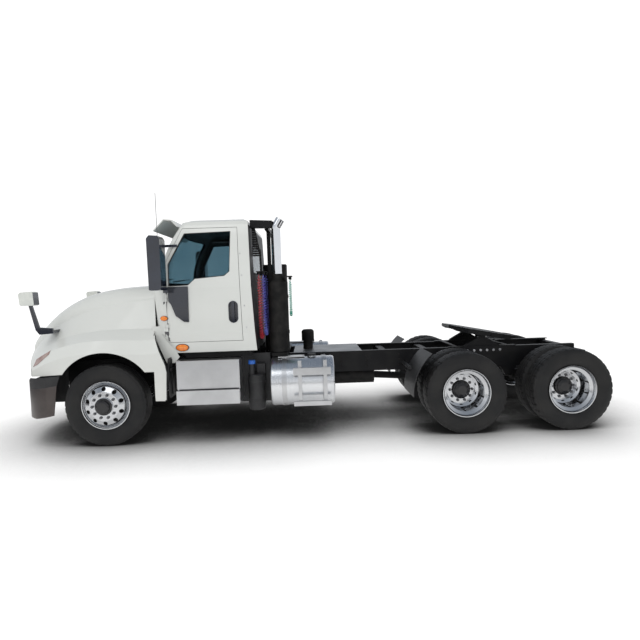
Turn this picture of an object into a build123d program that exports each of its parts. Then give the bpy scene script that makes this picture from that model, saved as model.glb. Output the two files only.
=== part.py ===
"""Three-axle conventional day cab tractor unit, modelled as an assembly of separate pieces.

Frame: +X forward, +Y to the driver's side, +Z up, millimetres. The origin is on the floor, under the
middle of the vehicle's length and width. Lengthwise places are worked out from the front axle.
"""

from build123d import *
from math import acos, cos, pi, radians, sin, tan
import os

os.makedirs("parts", exist_ok=True)

# ---------------------------------------------------------------- driving dimensions
TYRE_R = 506.0          # 22.5 inch low profile tyre
TYRE_W = 280.0
RIM_SEAT_R = 285.0
RIM_FLANGE_R = 298.5
RIM_W = 238.0           # over the flanges
FRONT_WHEELBASE = 4450.0    # front axle to the first drive axle
TANDEM = 1320.0             # first to second drive axle
FRONT_OVERHANG = 1250.0     # front axle to the bumper's face
REAR_OVERHANG = 420.0       # second drive axle to the rails' ends
FRONT_TRACK = 2060.0        # between the front tyres' middles
DRIVE_TRACK = 1830.0        # between the middles of the twin pairs
DUAL_SPACING = 336.0        # between the two tyres of a pair
RUN_GAP = 0.1               # radial clearance of a turning shaft in its bore
SEAT_GAP = 0.3              # between pieces that rest on each other with curved faces
PANEL_GAP = 5.0             # between outer panels of different bodies

FRONT_X = (FRONT_WHEELBASE + TANDEM + TYRE_R - FRONT_OVERHANG) / 2.0
MID_X = FRONT_X - FRONT_WHEELBASE
REAR_X = MID_X - TANDEM
AXLE_Z = TYRE_R
FRONT_Y = FRONT_TRACK / 2.0
DUAL_Y = DRIVE_TRACK / 2.0

RAIL_TOP = 985.0
RAIL_DEPTH = 280.0
RAIL_FLANGE = 80.0
RAIL_WALL = 9.0
RAIL_OUT = 432.0        # half the frame's width
RAIL_BOTTOM = RAIL_TOP - RAIL_DEPTH
RAIL_FRONT = FRONT_X + 1090.0
RAIL_REAR = REAR_X - REAR_OVERHANG

KINGPIN_Y = 860.0
KINGPIN_R = 24.0
STEER_ARM = 180.0       # kingpin to tie rod ball

SIDES = (("left", 1.0), ("right", -1.0))


# ---------------------------------------------------------------- shared shapes
def side_plane(y):
    """A drawing plane seen from the side: local x is forward, local y is up."""
    return Plane((0, y, 0), x_dir=(1, 0, 0), z_dir=(0, -1, 0))


def save(part, name):
    """Labels a finished piece and writes it as one file."""
    part.label = name
    export_step(part, f"parts/{name}.step")


def side_prism(points, y_low, y_high, corner=0.0):
    """Prism of a side outline, given as (x, z) points, between two values of y."""
    with BuildPart() as prism:
        with BuildSketch(side_plane(y_high)):
            with BuildLine():
                Polyline(*points, close=True)
            make_face()
        extrude(amount=y_high - y_low)
        if corner:
            fillet(prism.edges().filter_by(Axis.Y), corner)
    return prism.part


def box_at(x_low, x_high, y_low, y_high, z_low, z_high):
    """Plain box from its lowest and highest corners, outside any builder."""
    block = Box(x_high - x_low, y_high - y_low, z_high - z_low, mode=Mode.PRIVATE)
    return Pos((x_low + x_high) / 2, (y_low + y_high) / 2, (z_low + z_high) / 2) * block


# ---------------------------------------------------------------- frame
def frame_rail(side):
    """One C-shaped rail, with its flanges turned inward."""
    with BuildPart() as rail:
        with BuildSketch(Plane.YZ.offset(RAIL_REAR)):
            with BuildLine():
                inner = RAIL_OUT - RAIL_FLANGE
                web = RAIL_OUT - RAIL_WALL
                Polyline(
                    (side * RAIL_OUT, RAIL_BOTTOM), (side * RAIL_OUT, RAIL_TOP),
                    (side * inner, RAIL_TOP), (side * inner, RAIL_TOP - RAIL_WALL),
                    (side * web, RAIL_TOP - RAIL_WALL), (side * web, RAIL_BOTTOM + RAIL_WALL),
                    (side * inner, RAIL_BOTTOM + RAIL_WALL), (side * inner, RAIL_BOTTOM), close=True)
            make_face()
        extrude(amount=RAIL_FRONT - RAIL_REAR)
    return rail.part


with BuildPart() as frame_rails:
    for _, side in SIDES:
        add(frame_rail(side))
save(frame_rails.part, "frame_rails")

# crossmembers: (middle x, length along x, lowest z, highest z)
CROSSMEMBERS = (
    (RAIL_FRONT - 60.0, 100.0, RAIL_BOTTOM + 60.0, RAIL_BOTTOM + 170.0),
    (FRONT_X - 1560.0, 90.0, RAIL_TOP - 130.0, RAIL_TOP - 25.0),
    (FRONT_X - 2560.0, 90.0, RAIL_TOP - 130.0, RAIL_TOP - 25.0),
    (FRONT_X - 3560.0, 90.0, RAIL_TOP - 130.0, RAIL_TOP - 25.0),
    (MID_X + 300.0, 90.0, RAIL_TOP - 130.0, RAIL_TOP - 25.0),
    ((MID_X + REAR_X) / 2.0, 110.0, RAIL_TOP - 150.0, RAIL_TOP - 25.0),
    (RAIL_REAR + 70.0, 90.0, RAIL_BOTTOM + 30.0, RAIL_TOP - 30.0),
)
CROSS_WALL = 12.0


def crossmember(x, length, z_low, z_high):
    """Channel between the rails' webs, open to the rear."""
    half = RAIL_OUT - RAIL_WALL
    with BuildPart() as member:
        with BuildSketch(Plane.XZ.offset(half)):
            with BuildLine():
                Polyline(
                    (x - length / 2, z_low), (x + length / 2, z_low), (x + length / 2, z_high),
                    (x - length / 2, z_high), (x - length / 2, z_high - CROSS_WALL),
                    (x + length / 2 - CROSS_WALL, z_high - CROSS_WALL),
                    (x + length / 2 - CROSS_WALL, z_low + CROSS_WALL),
                    (x - length / 2, z_low + CROSS_WALL), close=True)
            make_face()
        extrude(amount=-2 * half)
    return member.part


TAIL_LAMP = (60.0, 200.0, 110.0)    # depth, width and height of one tail lamp
TAIL_LAMP_Z = RAIL_BOTTOM + 150.0

with BuildPart() as crossmembers:
    for row in CROSSMEMBERS:
        add(crossmember(*row))
    # lamp bar across the rails' ends, with a lamp housing near each end
    add(box_at(RAIL_REAR - 10, RAIL_REAR, -RAIL_OUT - 165, RAIL_OUT + 165, TAIL_LAMP_Z - 70,
               TAIL_LAMP_Z + 70))
    for _, side in SIDES:
        with Locations((RAIL_REAR - 10 - TAIL_LAMP[0] / 2, side * (RAIL_OUT + 60), TAIL_LAMP_Z)):
            Box(*TAIL_LAMP)
    fillet(crossmembers.edges().filter_by(Axis.X).group_by(Axis.X)[0], 20)

# ---------------------------------------------------------------- front axle and steering
BEAM_TOP = 455.0
BEAM_H = 105.0
BEAM_W = 96.0
EYE_R = 46.0            # axle end round the kingpin
EYE_LOW, EYE_HIGH = 440.0, 570.0
EYE_NECK = 20.0         # the beam's square end stops this far inside the kingpin
ENDS_Y = KINGPIN_Y

with BuildPart() as front_axle:
    with BuildSketch(Plane.YZ.offset(FRONT_X - BEAM_W / 2)):
        with BuildLine():
            Polyline(
                (-ENDS_Y, EYE_LOW), (-ENDS_Y + 90, EYE_LOW), (-640, BEAM_TOP - BEAM_H),
                (640, BEAM_TOP - BEAM_H), (ENDS_Y - 90, EYE_LOW), (ENDS_Y, EYE_LOW),
                (ENDS_Y, EYE_HIGH), (ENDS_Y - 70, EYE_HIGH), (560, BEAM_TOP),
                (-560, BEAM_TOP), (-ENDS_Y + 70, EYE_HIGH), (-ENDS_Y, EYE_HIGH), close=True)
        make_face()
    extrude(amount=BEAM_W)
    # the web between the beam's flanges
    for face in (-1, 1):
        with BuildSketch(Plane.YZ.offset(FRONT_X + face * BEAM_W / 2)):
            with Locations((0, BEAM_TOP - BEAM_H / 2)):
                RectangleRounded(1080, BEAM_H - 36, 12)
        extrude(amount=-face * 34, mode=Mode.SUBTRACT)
    with Locations((FRONT_X, ENDS_Y, (EYE_LOW + EYE_HIGH) / 2),
                   (FRONT_X, -ENDS_Y, (EYE_LOW + EYE_HIGH) / 2)):
        Cylinder(EYE_R, EYE_HIGH - EYE_LOW)
        Cylinder(KINGPIN_R + RUN_GAP, EYE_HIGH - EYE_LOW, mode=Mode.SUBTRACT)
    # the straight cheeks beside each eye are cut back to the eye's round
    for y_side in (-1, 1):
        with BuildSketch(Plane.XY.offset(EYE_LOW)):
            with BuildLine():
                Polyline(
                    (FRONT_X - BEAM_W, y_side * (ENDS_Y + 1)), (FRONT_X + BEAM_W, y_side * (ENDS_Y + 1)),
                    (FRONT_X + BEAM_W, y_side * (ENDS_Y - EYE_NECK)),
                    (FRONT_X - BEAM_W, y_side * (ENDS_Y - EYE_NECK)),
                    close=True)
            make_face()
            with Locations((FRONT_X, y_side * ENDS_Y)):
                Circle(EYE_R, mode=Mode.SUBTRACT)
        extrude(amount=EYE_HIGH - EYE_LOW, mode=Mode.SUBTRACT)

SPRING_Y = RAIL_OUT - 40.0
SPRING_W = 78.0
SPRING_EYE_X = 690.0
SPRING_EYE_Z = 640.0
SPRING_EYE_R = 34.0
SPRING_SEAT_H = 78.0     # top of the main leaf above the beam
SPRING_LEAVES = 4
SPRING_LEAF_T = 15.0
SPRING_LEAF_STEP = 110.0 # each leaf is this much shorter at either end


def front_spring(side):
    """Leaf pack on its axle seat, with an eye and a hanger at each end."""
    y_mid = side * SPRING_Y
    low, high = y_mid - SPRING_W / 2, y_mid + SPRING_W / 2
    with BuildPart() as spring:
        # four leaves, each shorter than the one above it
        for leaf in range(SPRING_LEAVES):
            reach = SPRING_EYE_X - leaf * SPRING_LEAF_STEP
            rise = (SPRING_EYE_Z - BEAM_TOP - SPRING_SEAT_H) * (reach / SPRING_EYE_X) ** 2
            sag_z = BEAM_TOP + SPRING_SEAT_H - leaf * SPRING_LEAF_T
            with BuildSketch(side_plane(high)):
                with BuildLine():
                    ThreePointArc(
                        (FRONT_X - reach, sag_z + rise - SPRING_LEAF_T), (FRONT_X, sag_z - SPRING_LEAF_T),
                        (FRONT_X + reach, sag_z + rise - SPRING_LEAF_T))
                    Line((FRONT_X + reach, sag_z + rise - SPRING_LEAF_T),
                         (FRONT_X + reach, sag_z + rise + 1))
                    ThreePointArc(
                        (FRONT_X + reach, sag_z + rise + 1), (FRONT_X, sag_z + 1),
                        (FRONT_X - reach, sag_z + rise + 1))
                    Line((FRONT_X - reach, sag_z + rise + 1),
                         (FRONT_X - reach, sag_z + rise - SPRING_LEAF_T))
                make_face()
            extrude(amount=SPRING_W)
        # two bolts' straps over the pack
        for x in (FRONT_X - 62, FRONT_X + 38):
            add(box_at(x, x + 24, low - 12, high + 12, BEAM_TOP - BEAM_H + 4,
                       BEAM_TOP + SPRING_SEAT_H + 16))
        add(box_at(FRONT_X - 90, FRONT_X + 90, low, high, BEAM_TOP, BEAM_TOP + SPRING_SEAT_H))
        for end in (-1, 1):
            x_eye = FRONT_X + end * SPRING_EYE_X
            with Locations(Location((x_eye, y_mid, SPRING_EYE_Z), (90, 0, 0))):
                Cylinder(SPRING_EYE_R, SPRING_W)
            hanger = [
                (x_eye - 75, RAIL_BOTTOM), (x_eye + 75, RAIL_BOTTOM),
                (x_eye + 30, SPRING_EYE_Z - 20), (x_eye - 30, SPRING_EYE_Z - 20)]
            add(side_prism(hanger, low, high))
    return spring.part


with BuildPart() as sprung_axle:
    add(front_axle.part)
    for _, side in SIDES:
        add(front_spring(side))
save(sprung_axle.part, "front_axle")

KNUCKLE_EAR = 44.0
SPINDLE_R = 40.0
HUB_IN_Y = 985.0        # where the spindle enters the hub
SPINDLE_END_Y = 1150.0
BALL_R = 21.0


def knuckle(side):
    """Yoke round the axle's end with kingpin, spindle, brake plate and steering arm."""
    y_pin = side * KINGPIN_Y
    ear_gap = 2.0
    ears = ((EYE_LOW - ear_gap - KNUCKLE_EAR, EYE_LOW - ear_gap),
            (EYE_HIGH + ear_gap, EYE_HIGH + ear_gap + KNUCKLE_EAR))
    root_y = KINGPIN_Y + EYE_R + 8
    with BuildPart() as part:
        for z_low, z_high in ears:
            with Locations((FRONT_X, y_pin, (z_low + z_high) / 2)):
                Cylinder(EYE_R - 2, z_high - z_low)
            add(box_at(FRONT_X - 40, FRONT_X + 40, *sorted((y_pin, side * (root_y + 20))), z_low, z_high))
        with Locations((FRONT_X, y_pin, (ears[0][0] + ears[1][1]) / 2)):
            Cylinder(KINGPIN_R, ears[1][1] - ears[0][0])
        add(box_at(FRONT_X - 48, FRONT_X + 48, *sorted((side * root_y, side * (root_y + 30))),
                   ears[0][0], ears[1][1]))
        spindle_from = side * (root_y + 30)
        spindle_to = side * SPINDLE_END_Y
        with Locations(Location((FRONT_X, (spindle_from + spindle_to) / 2, AXLE_Z), (90, 0, 0))):
            Cylinder(SPINDLE_R, abs(spindle_to - spindle_from))
        with Locations(Location((FRONT_X, side * (root_y + 36), AXLE_Z), (90, 0, 0))):
            Cylinder(195, 12)
        # steering arm to the tie rod, straight back from the lower ear
        add(box_at(
            FRONT_X - STEER_ARM, FRONT_X - 10, y_pin - 17, y_pin + 17, ears[0][0], ears[0][0] + 30))
        with Locations((FRONT_X - STEER_ARM, y_pin, ears[0][0] + 15)):
            Cylinder(BALL_R + 4, 30)
        with Locations((FRONT_X - STEER_ARM, y_pin, ears[0][0] - 25)):
            Cylinder(10, 50)
    return part.part


for side_name, side in SIDES:
    save(knuckle(side), f"knuckle_{side_name}")

TIE_ROD_Z = EYE_LOW - 2.0 - KNUCKLE_EAR - 30.0
with BuildPart() as tie_rod:
    with Locations(Location((FRONT_X - STEER_ARM, 0, TIE_ROD_Z), (90, 0, 0))):
        Cylinder(19, 2 * KINGPIN_Y - 30)
    for _, side in SIDES:
        with Locations((FRONT_X - STEER_ARM, side * KINGPIN_Y, TIE_ROD_Z)):
            Cylinder(24, 44)
    with Locations((FRONT_X - STEER_ARM, KINGPIN_Y, TIE_ROD_Z),
                   (FRONT_X - STEER_ARM, -KINGPIN_Y, TIE_ROD_Z)):
        Cylinder(10 + RUN_GAP, 60, mode=Mode.SUBTRACT)
save(tie_rod.part, "tie_rod")

# ---------------------------------------------------------------- wheels and tyres
HALF_RIM = RIM_W / 2.0


def rim_profile(middle):
    """Section of a drop-centre rim as (radius, outward) points, round its middle plane."""
    half = HALF_RIM
    well = RIM_SEAT_R - 38.0
    wall = 9.0
    return [
        (RIM_FLANGE_R, middle - half), (RIM_FLANGE_R, middle - half + 11),
        (RIM_SEAT_R, middle - half + 15), (RIM_SEAT_R, middle - 72), (well, middle - 52),
        (well, middle + 52), (RIM_SEAT_R, middle + 72), (RIM_SEAT_R, middle + half - 15),
        (RIM_FLANGE_R, middle + half - 11), (RIM_FLANGE_R, middle + half),
        (RIM_FLANGE_R - 10, middle + half), (RIM_SEAT_R - wall, middle + half - 20),
        (RIM_SEAT_R - wall, middle + 76), (well - wall, middle + 56), (well - wall, middle - 56),
        (RIM_SEAT_R - wall, middle - 76), (RIM_SEAT_R - wall, middle - half + 20),
        (RIM_FLANGE_R - 10, middle - half)]


def tyre(x, y_middle):
    """Hollow tyre with rounded sidewalls, open to its rim."""
    half = TYRE_W / 2.0
    bead = HALF_RIM - 16.0
    bead_r = RIM_SEAT_R + SEAT_GAP
    shoulder_r = TYRE_R - 14.0
    tread_half = half - 26.0
    wall = 18.0
    plane = Plane((x, y_middle, AXLE_Z), x_dir=(1, 0, 0), z_dir=(0, 0, 1))
    with BuildPart() as body:
        with BuildSketch(plane):
            with BuildLine():
                Polyline((shoulder_r, -tread_half - 8), (TYRE_R, -tread_half + 12),
                         (TYRE_R, tread_half - 12),
                         (shoulder_r, tread_half + 8))
                ThreePointArc((shoulder_r, tread_half + 8), (TYRE_R - 88, half),
                              (RIM_FLANGE_R + 16, bead + 12))
                Polyline((RIM_FLANGE_R + 16, bead + 12), (RIM_FLANGE_R + 2, bead), (bead_r, bead),
                         (bead_r, bead - 22),
                         (RIM_FLANGE_R + 22, bead - 12))
                ThreePointArc((RIM_FLANGE_R + 22, bead - 12), (TYRE_R - 90, half - wall),
                              (TYRE_R - 42, tread_half - 14))
                Line((TYRE_R - 42, tread_half - 14), (TYRE_R - 42, -tread_half + 14))
                ThreePointArc((TYRE_R - 42, -tread_half + 14), (TYRE_R - 90, wall - half),
                              (RIM_FLANGE_R + 22, 12 - bead))
                Polyline((RIM_FLANGE_R + 22, 12 - bead), (bead_r, 22 - bead), (bead_r, -bead),
                         (RIM_FLANGE_R + 2, -bead),
                         (RIM_FLANGE_R + 16, -bead - 12))
                ThreePointArc((RIM_FLANGE_R + 16, -bead - 12), (TYRE_R - 88, -half),
                              (shoulder_r, -tread_half - 8))
            make_face()
        revolve(axis=Axis((x, y_middle, AXLE_Z), (0, 1, 0)))
    return body.part


HAND_HOLES = 10
HAND_HOLE_R = 26.0
HAND_CIRCLE_R = 212.0
HUB_PILOT_R = 110.0
DISC = 22.0


def front_wheel(x, y_middle, side):
    """Steer wheel: rim, outset disc with hand holes, hub, drum and cap as one turning piece."""
    disc_in = 168.0 - DISC
    disc = [
        (HUB_PILOT_R - 5, disc_in), (175, disc_in), (228, disc_in - 34), (249, 74), (268, 60),
        (270, 76), (256, 92), (236, disc_in - 8), (180, disc_in + DISC), (HUB_PILOT_R - 5, disc_in + DISC)]
    hub = [
        (SPINDLE_R + RUN_GAP, HUB_IN_Y - y_middle), (100, HUB_IN_Y - y_middle), (100, disc_in - 40),
        (150, disc_in - 40), (165, disc_in - 2), (165, disc_in + 1), (HUB_PILOT_R - 1, disc_in + 1),
        (HUB_PILOT_R - 1, disc_in + DISC + 16), (84, disc_in + DISC + 24), (80, disc_in + DISC + 62),
        (60, disc_in + DISC + 70), (0, disc_in + DISC + 70), (0, SPINDLE_END_Y - y_middle + 4),
        (SPINDLE_R + RUN_GAP, SPINDLE_END_Y - y_middle + 4)]
    drum = [
        (205, -50), (222, -50), (222, disc_in - 26), (150, disc_in - 26), (150, disc_in - 38),
        (205, disc_in - 38)]
    return wheel_from((rim_profile(0), disc, hub, drum), x, y_middle, side, disc_in, 1)


def wheel_from(profiles, x, y_middle, side, disc_at, discs):
    """Turns the sections into one wheel and cuts the hand holes through its disc."""
    with BuildPart() as wheel:
        for profile in profiles:
            signed = [(r, side * out) for r, out in profile]
            with BuildSketch(Plane((x, y_middle * side, AXLE_Z), x_dir=(1, 0, 0), z_dir=(0, 0, 1))):
                with BuildLine():
                    Polyline(*signed, close=True)
                make_face()
            revolve(axis=Axis((x, y_middle * side, AXLE_Z), (0, 1, 0)))
        hole_y = side * (y_middle + disc_at - 30)
        with BuildSketch(Plane((x, hole_y, AXLE_Z), x_dir=(1, 0, 0), z_dir=(0, side, 0))):
            with PolarLocations(HAND_CIRCLE_R, HAND_HOLES, start_angle=18):
                Circle(HAND_HOLE_R)
        extrude(amount=90 if discs == 1 else 60, mode=Mode.SUBTRACT)
    return wheel.part


TWIN_HUB_END = 92.0
TWIN_SPINDLE_END = 40.0


def twin_wheel(x, y_middle, side):
    """Two drive wheels back to back on one hub, with drum and axle flange."""
    rim_at = DUAL_SPACING / 2.0
    outer_disc = [
        (HUB_PILOT_R - 5, 0), (190, 0), (232, 16), (244, rim_at - 108), (280, rim_at - 100),
        (280, rim_at - 88), (238, rim_at - 84), (222, 40), (185, DISC), (HUB_PILOT_R - 5, DISC)]
    inner_disc = [(r, -out) for r, out in outer_disc]
    hub = [
        (SPINDLE_R + RUN_GAP, -180), (96, -180), (96, -60), (150, -60), (160, -DISC - 2), (160, -DISC + 1),
        (HUB_PILOT_R - 1, -DISC + 1), (HUB_PILOT_R - 1, DISC + 34), (92, DISC + 42), (92, DISC + 56),
        (56, TWIN_HUB_END), (0, TWIN_HUB_END), (0, TWIN_SPINDLE_END + 4),
        (SPINDLE_R + RUN_GAP, TWIN_SPINDLE_END + 4)]
    drum = [(205, -230), (222, -230), (222, -46), (150, -46), (150, -58), (205, -58)]
    return wheel_from((rim_profile(rim_at), rim_profile(-rim_at), outer_disc, inner_disc, hub, drum),
                      x, y_middle, side, 0, 2)


for side_name, side in SIDES:
    save(front_wheel(FRONT_X, FRONT_Y, side), f"wheel_front_{side_name}")
    save(tyre(FRONT_X, side * FRONT_Y), f"tyre_front_{side_name}")
    for axle_name, axle_x in (("mid", MID_X), ("rear", REAR_X)):
        save(twin_wheel(axle_x, DUAL_Y, side), f"wheels_{axle_name}_{side_name}")
        with BuildPart() as pair:
            for offset_y in (-DUAL_SPACING / 2, DUAL_SPACING / 2):
                add(tyre(axle_x, side * (DUAL_Y + offset_y)))
        save(pair.part, f"tyres_{axle_name}_{side_name}")

# ---------------------------------------------------------------- drive axles and propeller shafts
AXLE_TUBE_R = 68.0
AXLE_FLANGE_Y = DUAL_Y - 236.0
CHAMBER_R = 66.0        # brake chambers
CHAMBER_L = 150.0
CHAMBER_Y = 512.0
CHAMBER_UP = 60.0
CHAMBER_BACK = 155.0
PROP_R = 50.0


def drive_axle(x, pinion_length):
    """Banjo housing with its differential nose forward and a spindle at each end."""
    with BuildPart() as axle:
        with Locations(Location((x, 0, AXLE_Z), (90, 0, 0))):
            Cylinder(AXLE_TUBE_R, 2 * AXLE_FLANGE_Y)
            Cylinder(SPINDLE_R, 2 * (DUAL_Y + TWIN_SPINDLE_END))
        with Locations((x, 0, AXLE_Z)):
            Sphere(205)
        with Locations(Location((x + 150, 0, AXLE_Z + 20), (0, 90, 0))):
            Cone(150, 80, pinion_length)
        for _, side in SIDES:
            with Locations(Location((x, side * (AXLE_FLANGE_Y - 6), AXLE_Z), (90, 0, 0))):
                Cylinder(190, 12)
            # brake chamber on its bracket behind the tube
            with Locations(Location((x - CHAMBER_BACK, side * CHAMBER_Y, AXLE_Z + CHAMBER_UP), (0, 90, 0))):
                Cylinder(CHAMBER_R, CHAMBER_L)
                Cylinder(CHAMBER_R + 8, 14)
            add(box_at(x - CHAMBER_BACK, x, *sorted((side * (CHAMBER_Y - 20), side * (CHAMBER_Y + 20))),
                       AXLE_Z, AXLE_Z + CHAMBER_UP))
    return axle.part


with BuildPart() as drive_axles:
    add(drive_axle(MID_X, 300.0))
    add(drive_axle(REAR_X, 300.0))
    # inter-axle shaft
    with Locations(Location(((MID_X + REAR_X) / 2 + 20, 0, AXLE_Z + 20), (0, 90, 0))):
        Cylinder(42, TANDEM - 300)

GEARBOX_REAR = FRONT_X - 1330.0
with BuildPart() as engine:
    add(box_at(FRONT_X - 450, FRONT_X + 830, -320, 320, 620, 1490))
    add(box_at(GEARBOX_REAR, FRONT_X - 450, -210, 210, 610, 950))
    # mounts to the rails' webs
    for x in (FRONT_X - 380, FRONT_X + 560):
        add(box_at(x, x + 120, -(RAIL_OUT - RAIL_WALL), RAIL_OUT - RAIL_WALL, 780, 880))
save(engine.part, "engine")

shaft_from = Vector(GEARBOX_REAR, 0, 730)
shaft_to = Vector(MID_X + 150 + 150, 0, AXLE_Z + 20)
with BuildPart() as propshaft:
    with BuildSketch(Plane(shaft_from, z_dir=(shaft_to - shaft_from).normalized())):
        Circle(PROP_R)
    extrude(amount=(shaft_to - shaft_from).length + 40)
    split(bisect_by=Plane((GEARBOX_REAR - SEAT_GAP, 0, 0), z_dir=(-1, 0, 0)), keep=Keep.TOP)
with BuildPart() as driveline:
    add(drive_axles.part)
    add(propshaft.part)
save(driveline.part, "driveline")

# ---------------------------------------------------------------- rear air suspension
ARM_Y = RAIL_OUT - 40.0
ARM_W = 76.0
BAG_R = 120.0
BAG_BACK = 365.0
BAG_SEAT = 430.0
HANGER_AHEAD = 500.0


def trailing_arm(x, side):
    """Main support arm from its hanger ahead of the axle to the air spring seat behind it."""
    y_mid = side * ARM_Y
    arm = [
        (x + HANGER_AHEAD + 40, 600), (x + HANGER_AHEAD + 40, 650), (x + 120, 655), (x - 120, 640),
        (x - 240, BAG_SEAT), (x - BAG_BACK - 110, BAG_SEAT), (x - BAG_BACK - 110, BAG_SEAT - 36),
        (x - 262, BAG_SEAT - 36), (x - 140, AXLE_Z + AXLE_TUBE_R + 6), (x + 120, AXLE_Z + AXLE_TUBE_R + 6)]
    hanger = [
        (x + HANGER_AHEAD - 110, RAIL_BOTTOM), (x + HANGER_AHEAD + 110, RAIL_BOTTOM),
        (x + HANGER_AHEAD + 50, 585), (x + HANGER_AHEAD - 50, 585)]
    with BuildPart() as part:
        add(side_prism(arm, y_mid - ARM_W / 2, y_mid + ARM_W / 2))
        add(side_prism(hanger, y_mid - ARM_W / 2 - 2, y_mid + ARM_W / 2 + 2))
        add(box_at(x - 60, x + 60, y_mid - ARM_W / 2, y_mid + ARM_W / 2, AXLE_Z + AXLE_TUBE_R + 0.5, 640))
    return part.part


def air_spring(x, side):
    """Rolling-lobe bag between the arm's seat and the rail."""
    with BuildPart() as bag:
        with BuildSketch(Plane((x - BAG_BACK, side * ARM_Y, 0), x_dir=(1, 0, 0), z_dir=(0, -1, 0))):
            with BuildLine():
                Polyline((0, BAG_SEAT), (70, BAG_SEAT), (78, BAG_SEAT + 95))
                ThreePointArc((78, BAG_SEAT + 95), (112, BAG_SEAT + 80), (BAG_R, BAG_SEAT + 115))
                Polyline((BAG_R, BAG_SEAT + 115), (BAG_R, RAIL_BOTTOM - 40), (90, RAIL_BOTTOM),
                         (0, RAIL_BOTTOM),
                         (0, BAG_SEAT))
            make_face()
        revolve(axis=Axis((x - BAG_BACK, side * ARM_Y, 0), (0, 0, 1)))
    return bag.part


with BuildPart() as suspension_arms:
    for axle_x in (MID_X, REAR_X):
        for _, side in SIDES:
            add(trailing_arm(axle_x, side))
save(suspension_arms.part, "suspension_arms")
with BuildPart() as air_springs:
    for axle_x in (MID_X, REAR_X):
        for _, side in SIDES:
            add(air_spring(axle_x, side))
save(air_springs.part, "air_springs")


# ---------------------------------------------------------------- bumper
def ahead(x):
    """Lengthwise place measured forward of the front axle."""
    return FRONT_X + x


BUMPER_T = 12.0
BUMPER_HALF = 1140.0    # half width at the wrapped ends
BUMPER_END = 545.0      # the ends' place ahead of the axle
BUMPER_SIDE = [
    (ahead(1300), 335), (ahead(1300), 700), (ahead(900), 722), (ahead(BUMPER_END + 40), 770),
    (ahead(BUMPER_END + 95), 400), (ahead(900), 348)]
BAND_SIDE = [
    (ahead(1300), 700), (ahead(1300), 754), (ahead(1120), 775), (ahead(1000), 848),
    (ahead(BUMPER_END), 890),
    (ahead(BUMPER_END + 40), 770), (ahead(900), 722)]


def bumper_plan(inset):
    """Plan face inside the bumper's wrapped sheet."""
    half = BUMPER_HALF - inset
    front = ahead(1250) - inset
    corner_x, corner_y = ahead(1110) - inset, 780.0 - inset * 0.4
    bend = (ahead(945) - inset * 0.7, 1010 - inset * 0.7)
    end_x = ahead(BUMPER_END - 60)
    with BuildSketch() as plan:
        with BuildLine():
            ThreePointArc((corner_x, corner_y), (front, 0), (corner_x, -corner_y))
            ThreePointArc((corner_x, -corner_y), (bend[0], -bend[1]), (ahead(720), -half))
            Polyline((ahead(720), -half), (end_x, -half), (end_x, half), (ahead(720), half))
            ThreePointArc((ahead(720), half), bend, (corner_x, corner_y))
        make_face()
    return plan.sketch


with BuildPart() as bumper_sheet:
    with BuildSketch(Plane.XY.offset(300)):
        add(bumper_plan(0))
        add(bumper_plan(BUMPER_T), mode=Mode.SUBTRACT)
    extrude(amount=700)

with BuildPart() as bumper:
    add(bumper_sheet.part & side_prism(BUMPER_SIDE, -1300, 1300))
    with BuildSketch(Plane.YZ.offset(ahead(900))):
        with Locations((0, 520)):
            RectangleRounded(900, 150, 40)
    extrude(amount=400, mode=Mode.SUBTRACT)
    # brackets from the rails to the sheet
    for _, side in SIDES:
        arm = [
            (RAIL_FRONT - 130, RAIL_BOTTOM + 15), (RAIL_FRONT - 130, RAIL_BOTTOM + 105),
            (RAIL_FRONT - 10, RAIL_BOTTOM + 105),
            (RAIL_FRONT + 50, RAIL_BOTTOM - 12), (ahead(1201), RAIL_BOTTOM - 12), (ahead(1201), 620),
            (RAIL_FRONT, 620)]
        add(side_prism(arm, *sorted((side * RAIL_OUT, side * (RAIL_OUT + 16)))))
save(bumper.part, "bumper")
save(bumper_sheet.part & side_prism(BAND_SIDE, -1300, 1300), "bumper_band")

# ---------------------------------------------------------------- hood with fenders
HOOD_T = 9.0
ARCH_R = 622.0
ARCH_Z = 539.0
ARCH_LIP = 12.0        # thickness of the flange round the arch
# (x, top z, half top, side z, half side, waist z, half waist, crease z, half crease, lip z, half lip)
HOOD_SECTIONS = (
    (-760.0, 1990.0, 600.0, 1800.0, 850.0, 1430.0, 1000.0, 1310.0, 1140.0, 1150.0, 1190.0),
    (0.0, 1945.0, 540.0, 1730.0, 790.0, 1420.0, 950.0, 1305.0, 1130.0, 1150.0, 1195.0),
    (600.0, 1782.0, 450.0, 1560.0, 690.0, 1330.0, 880.0, 1215.0, 1060.0, 1080.0, 1130.0),
    (1000.0, 1500.0, 360.0, 1320.0, 560.0, 1170.0, 730.0, 1050.0, 870.0, 930.0, 930.0),
    (1260.0, 1200.0, 280.0, 1080.0, 420.0, 1000.0, 520.0, 930.0, 640.0, 860.0, 700.0),
)


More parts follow.
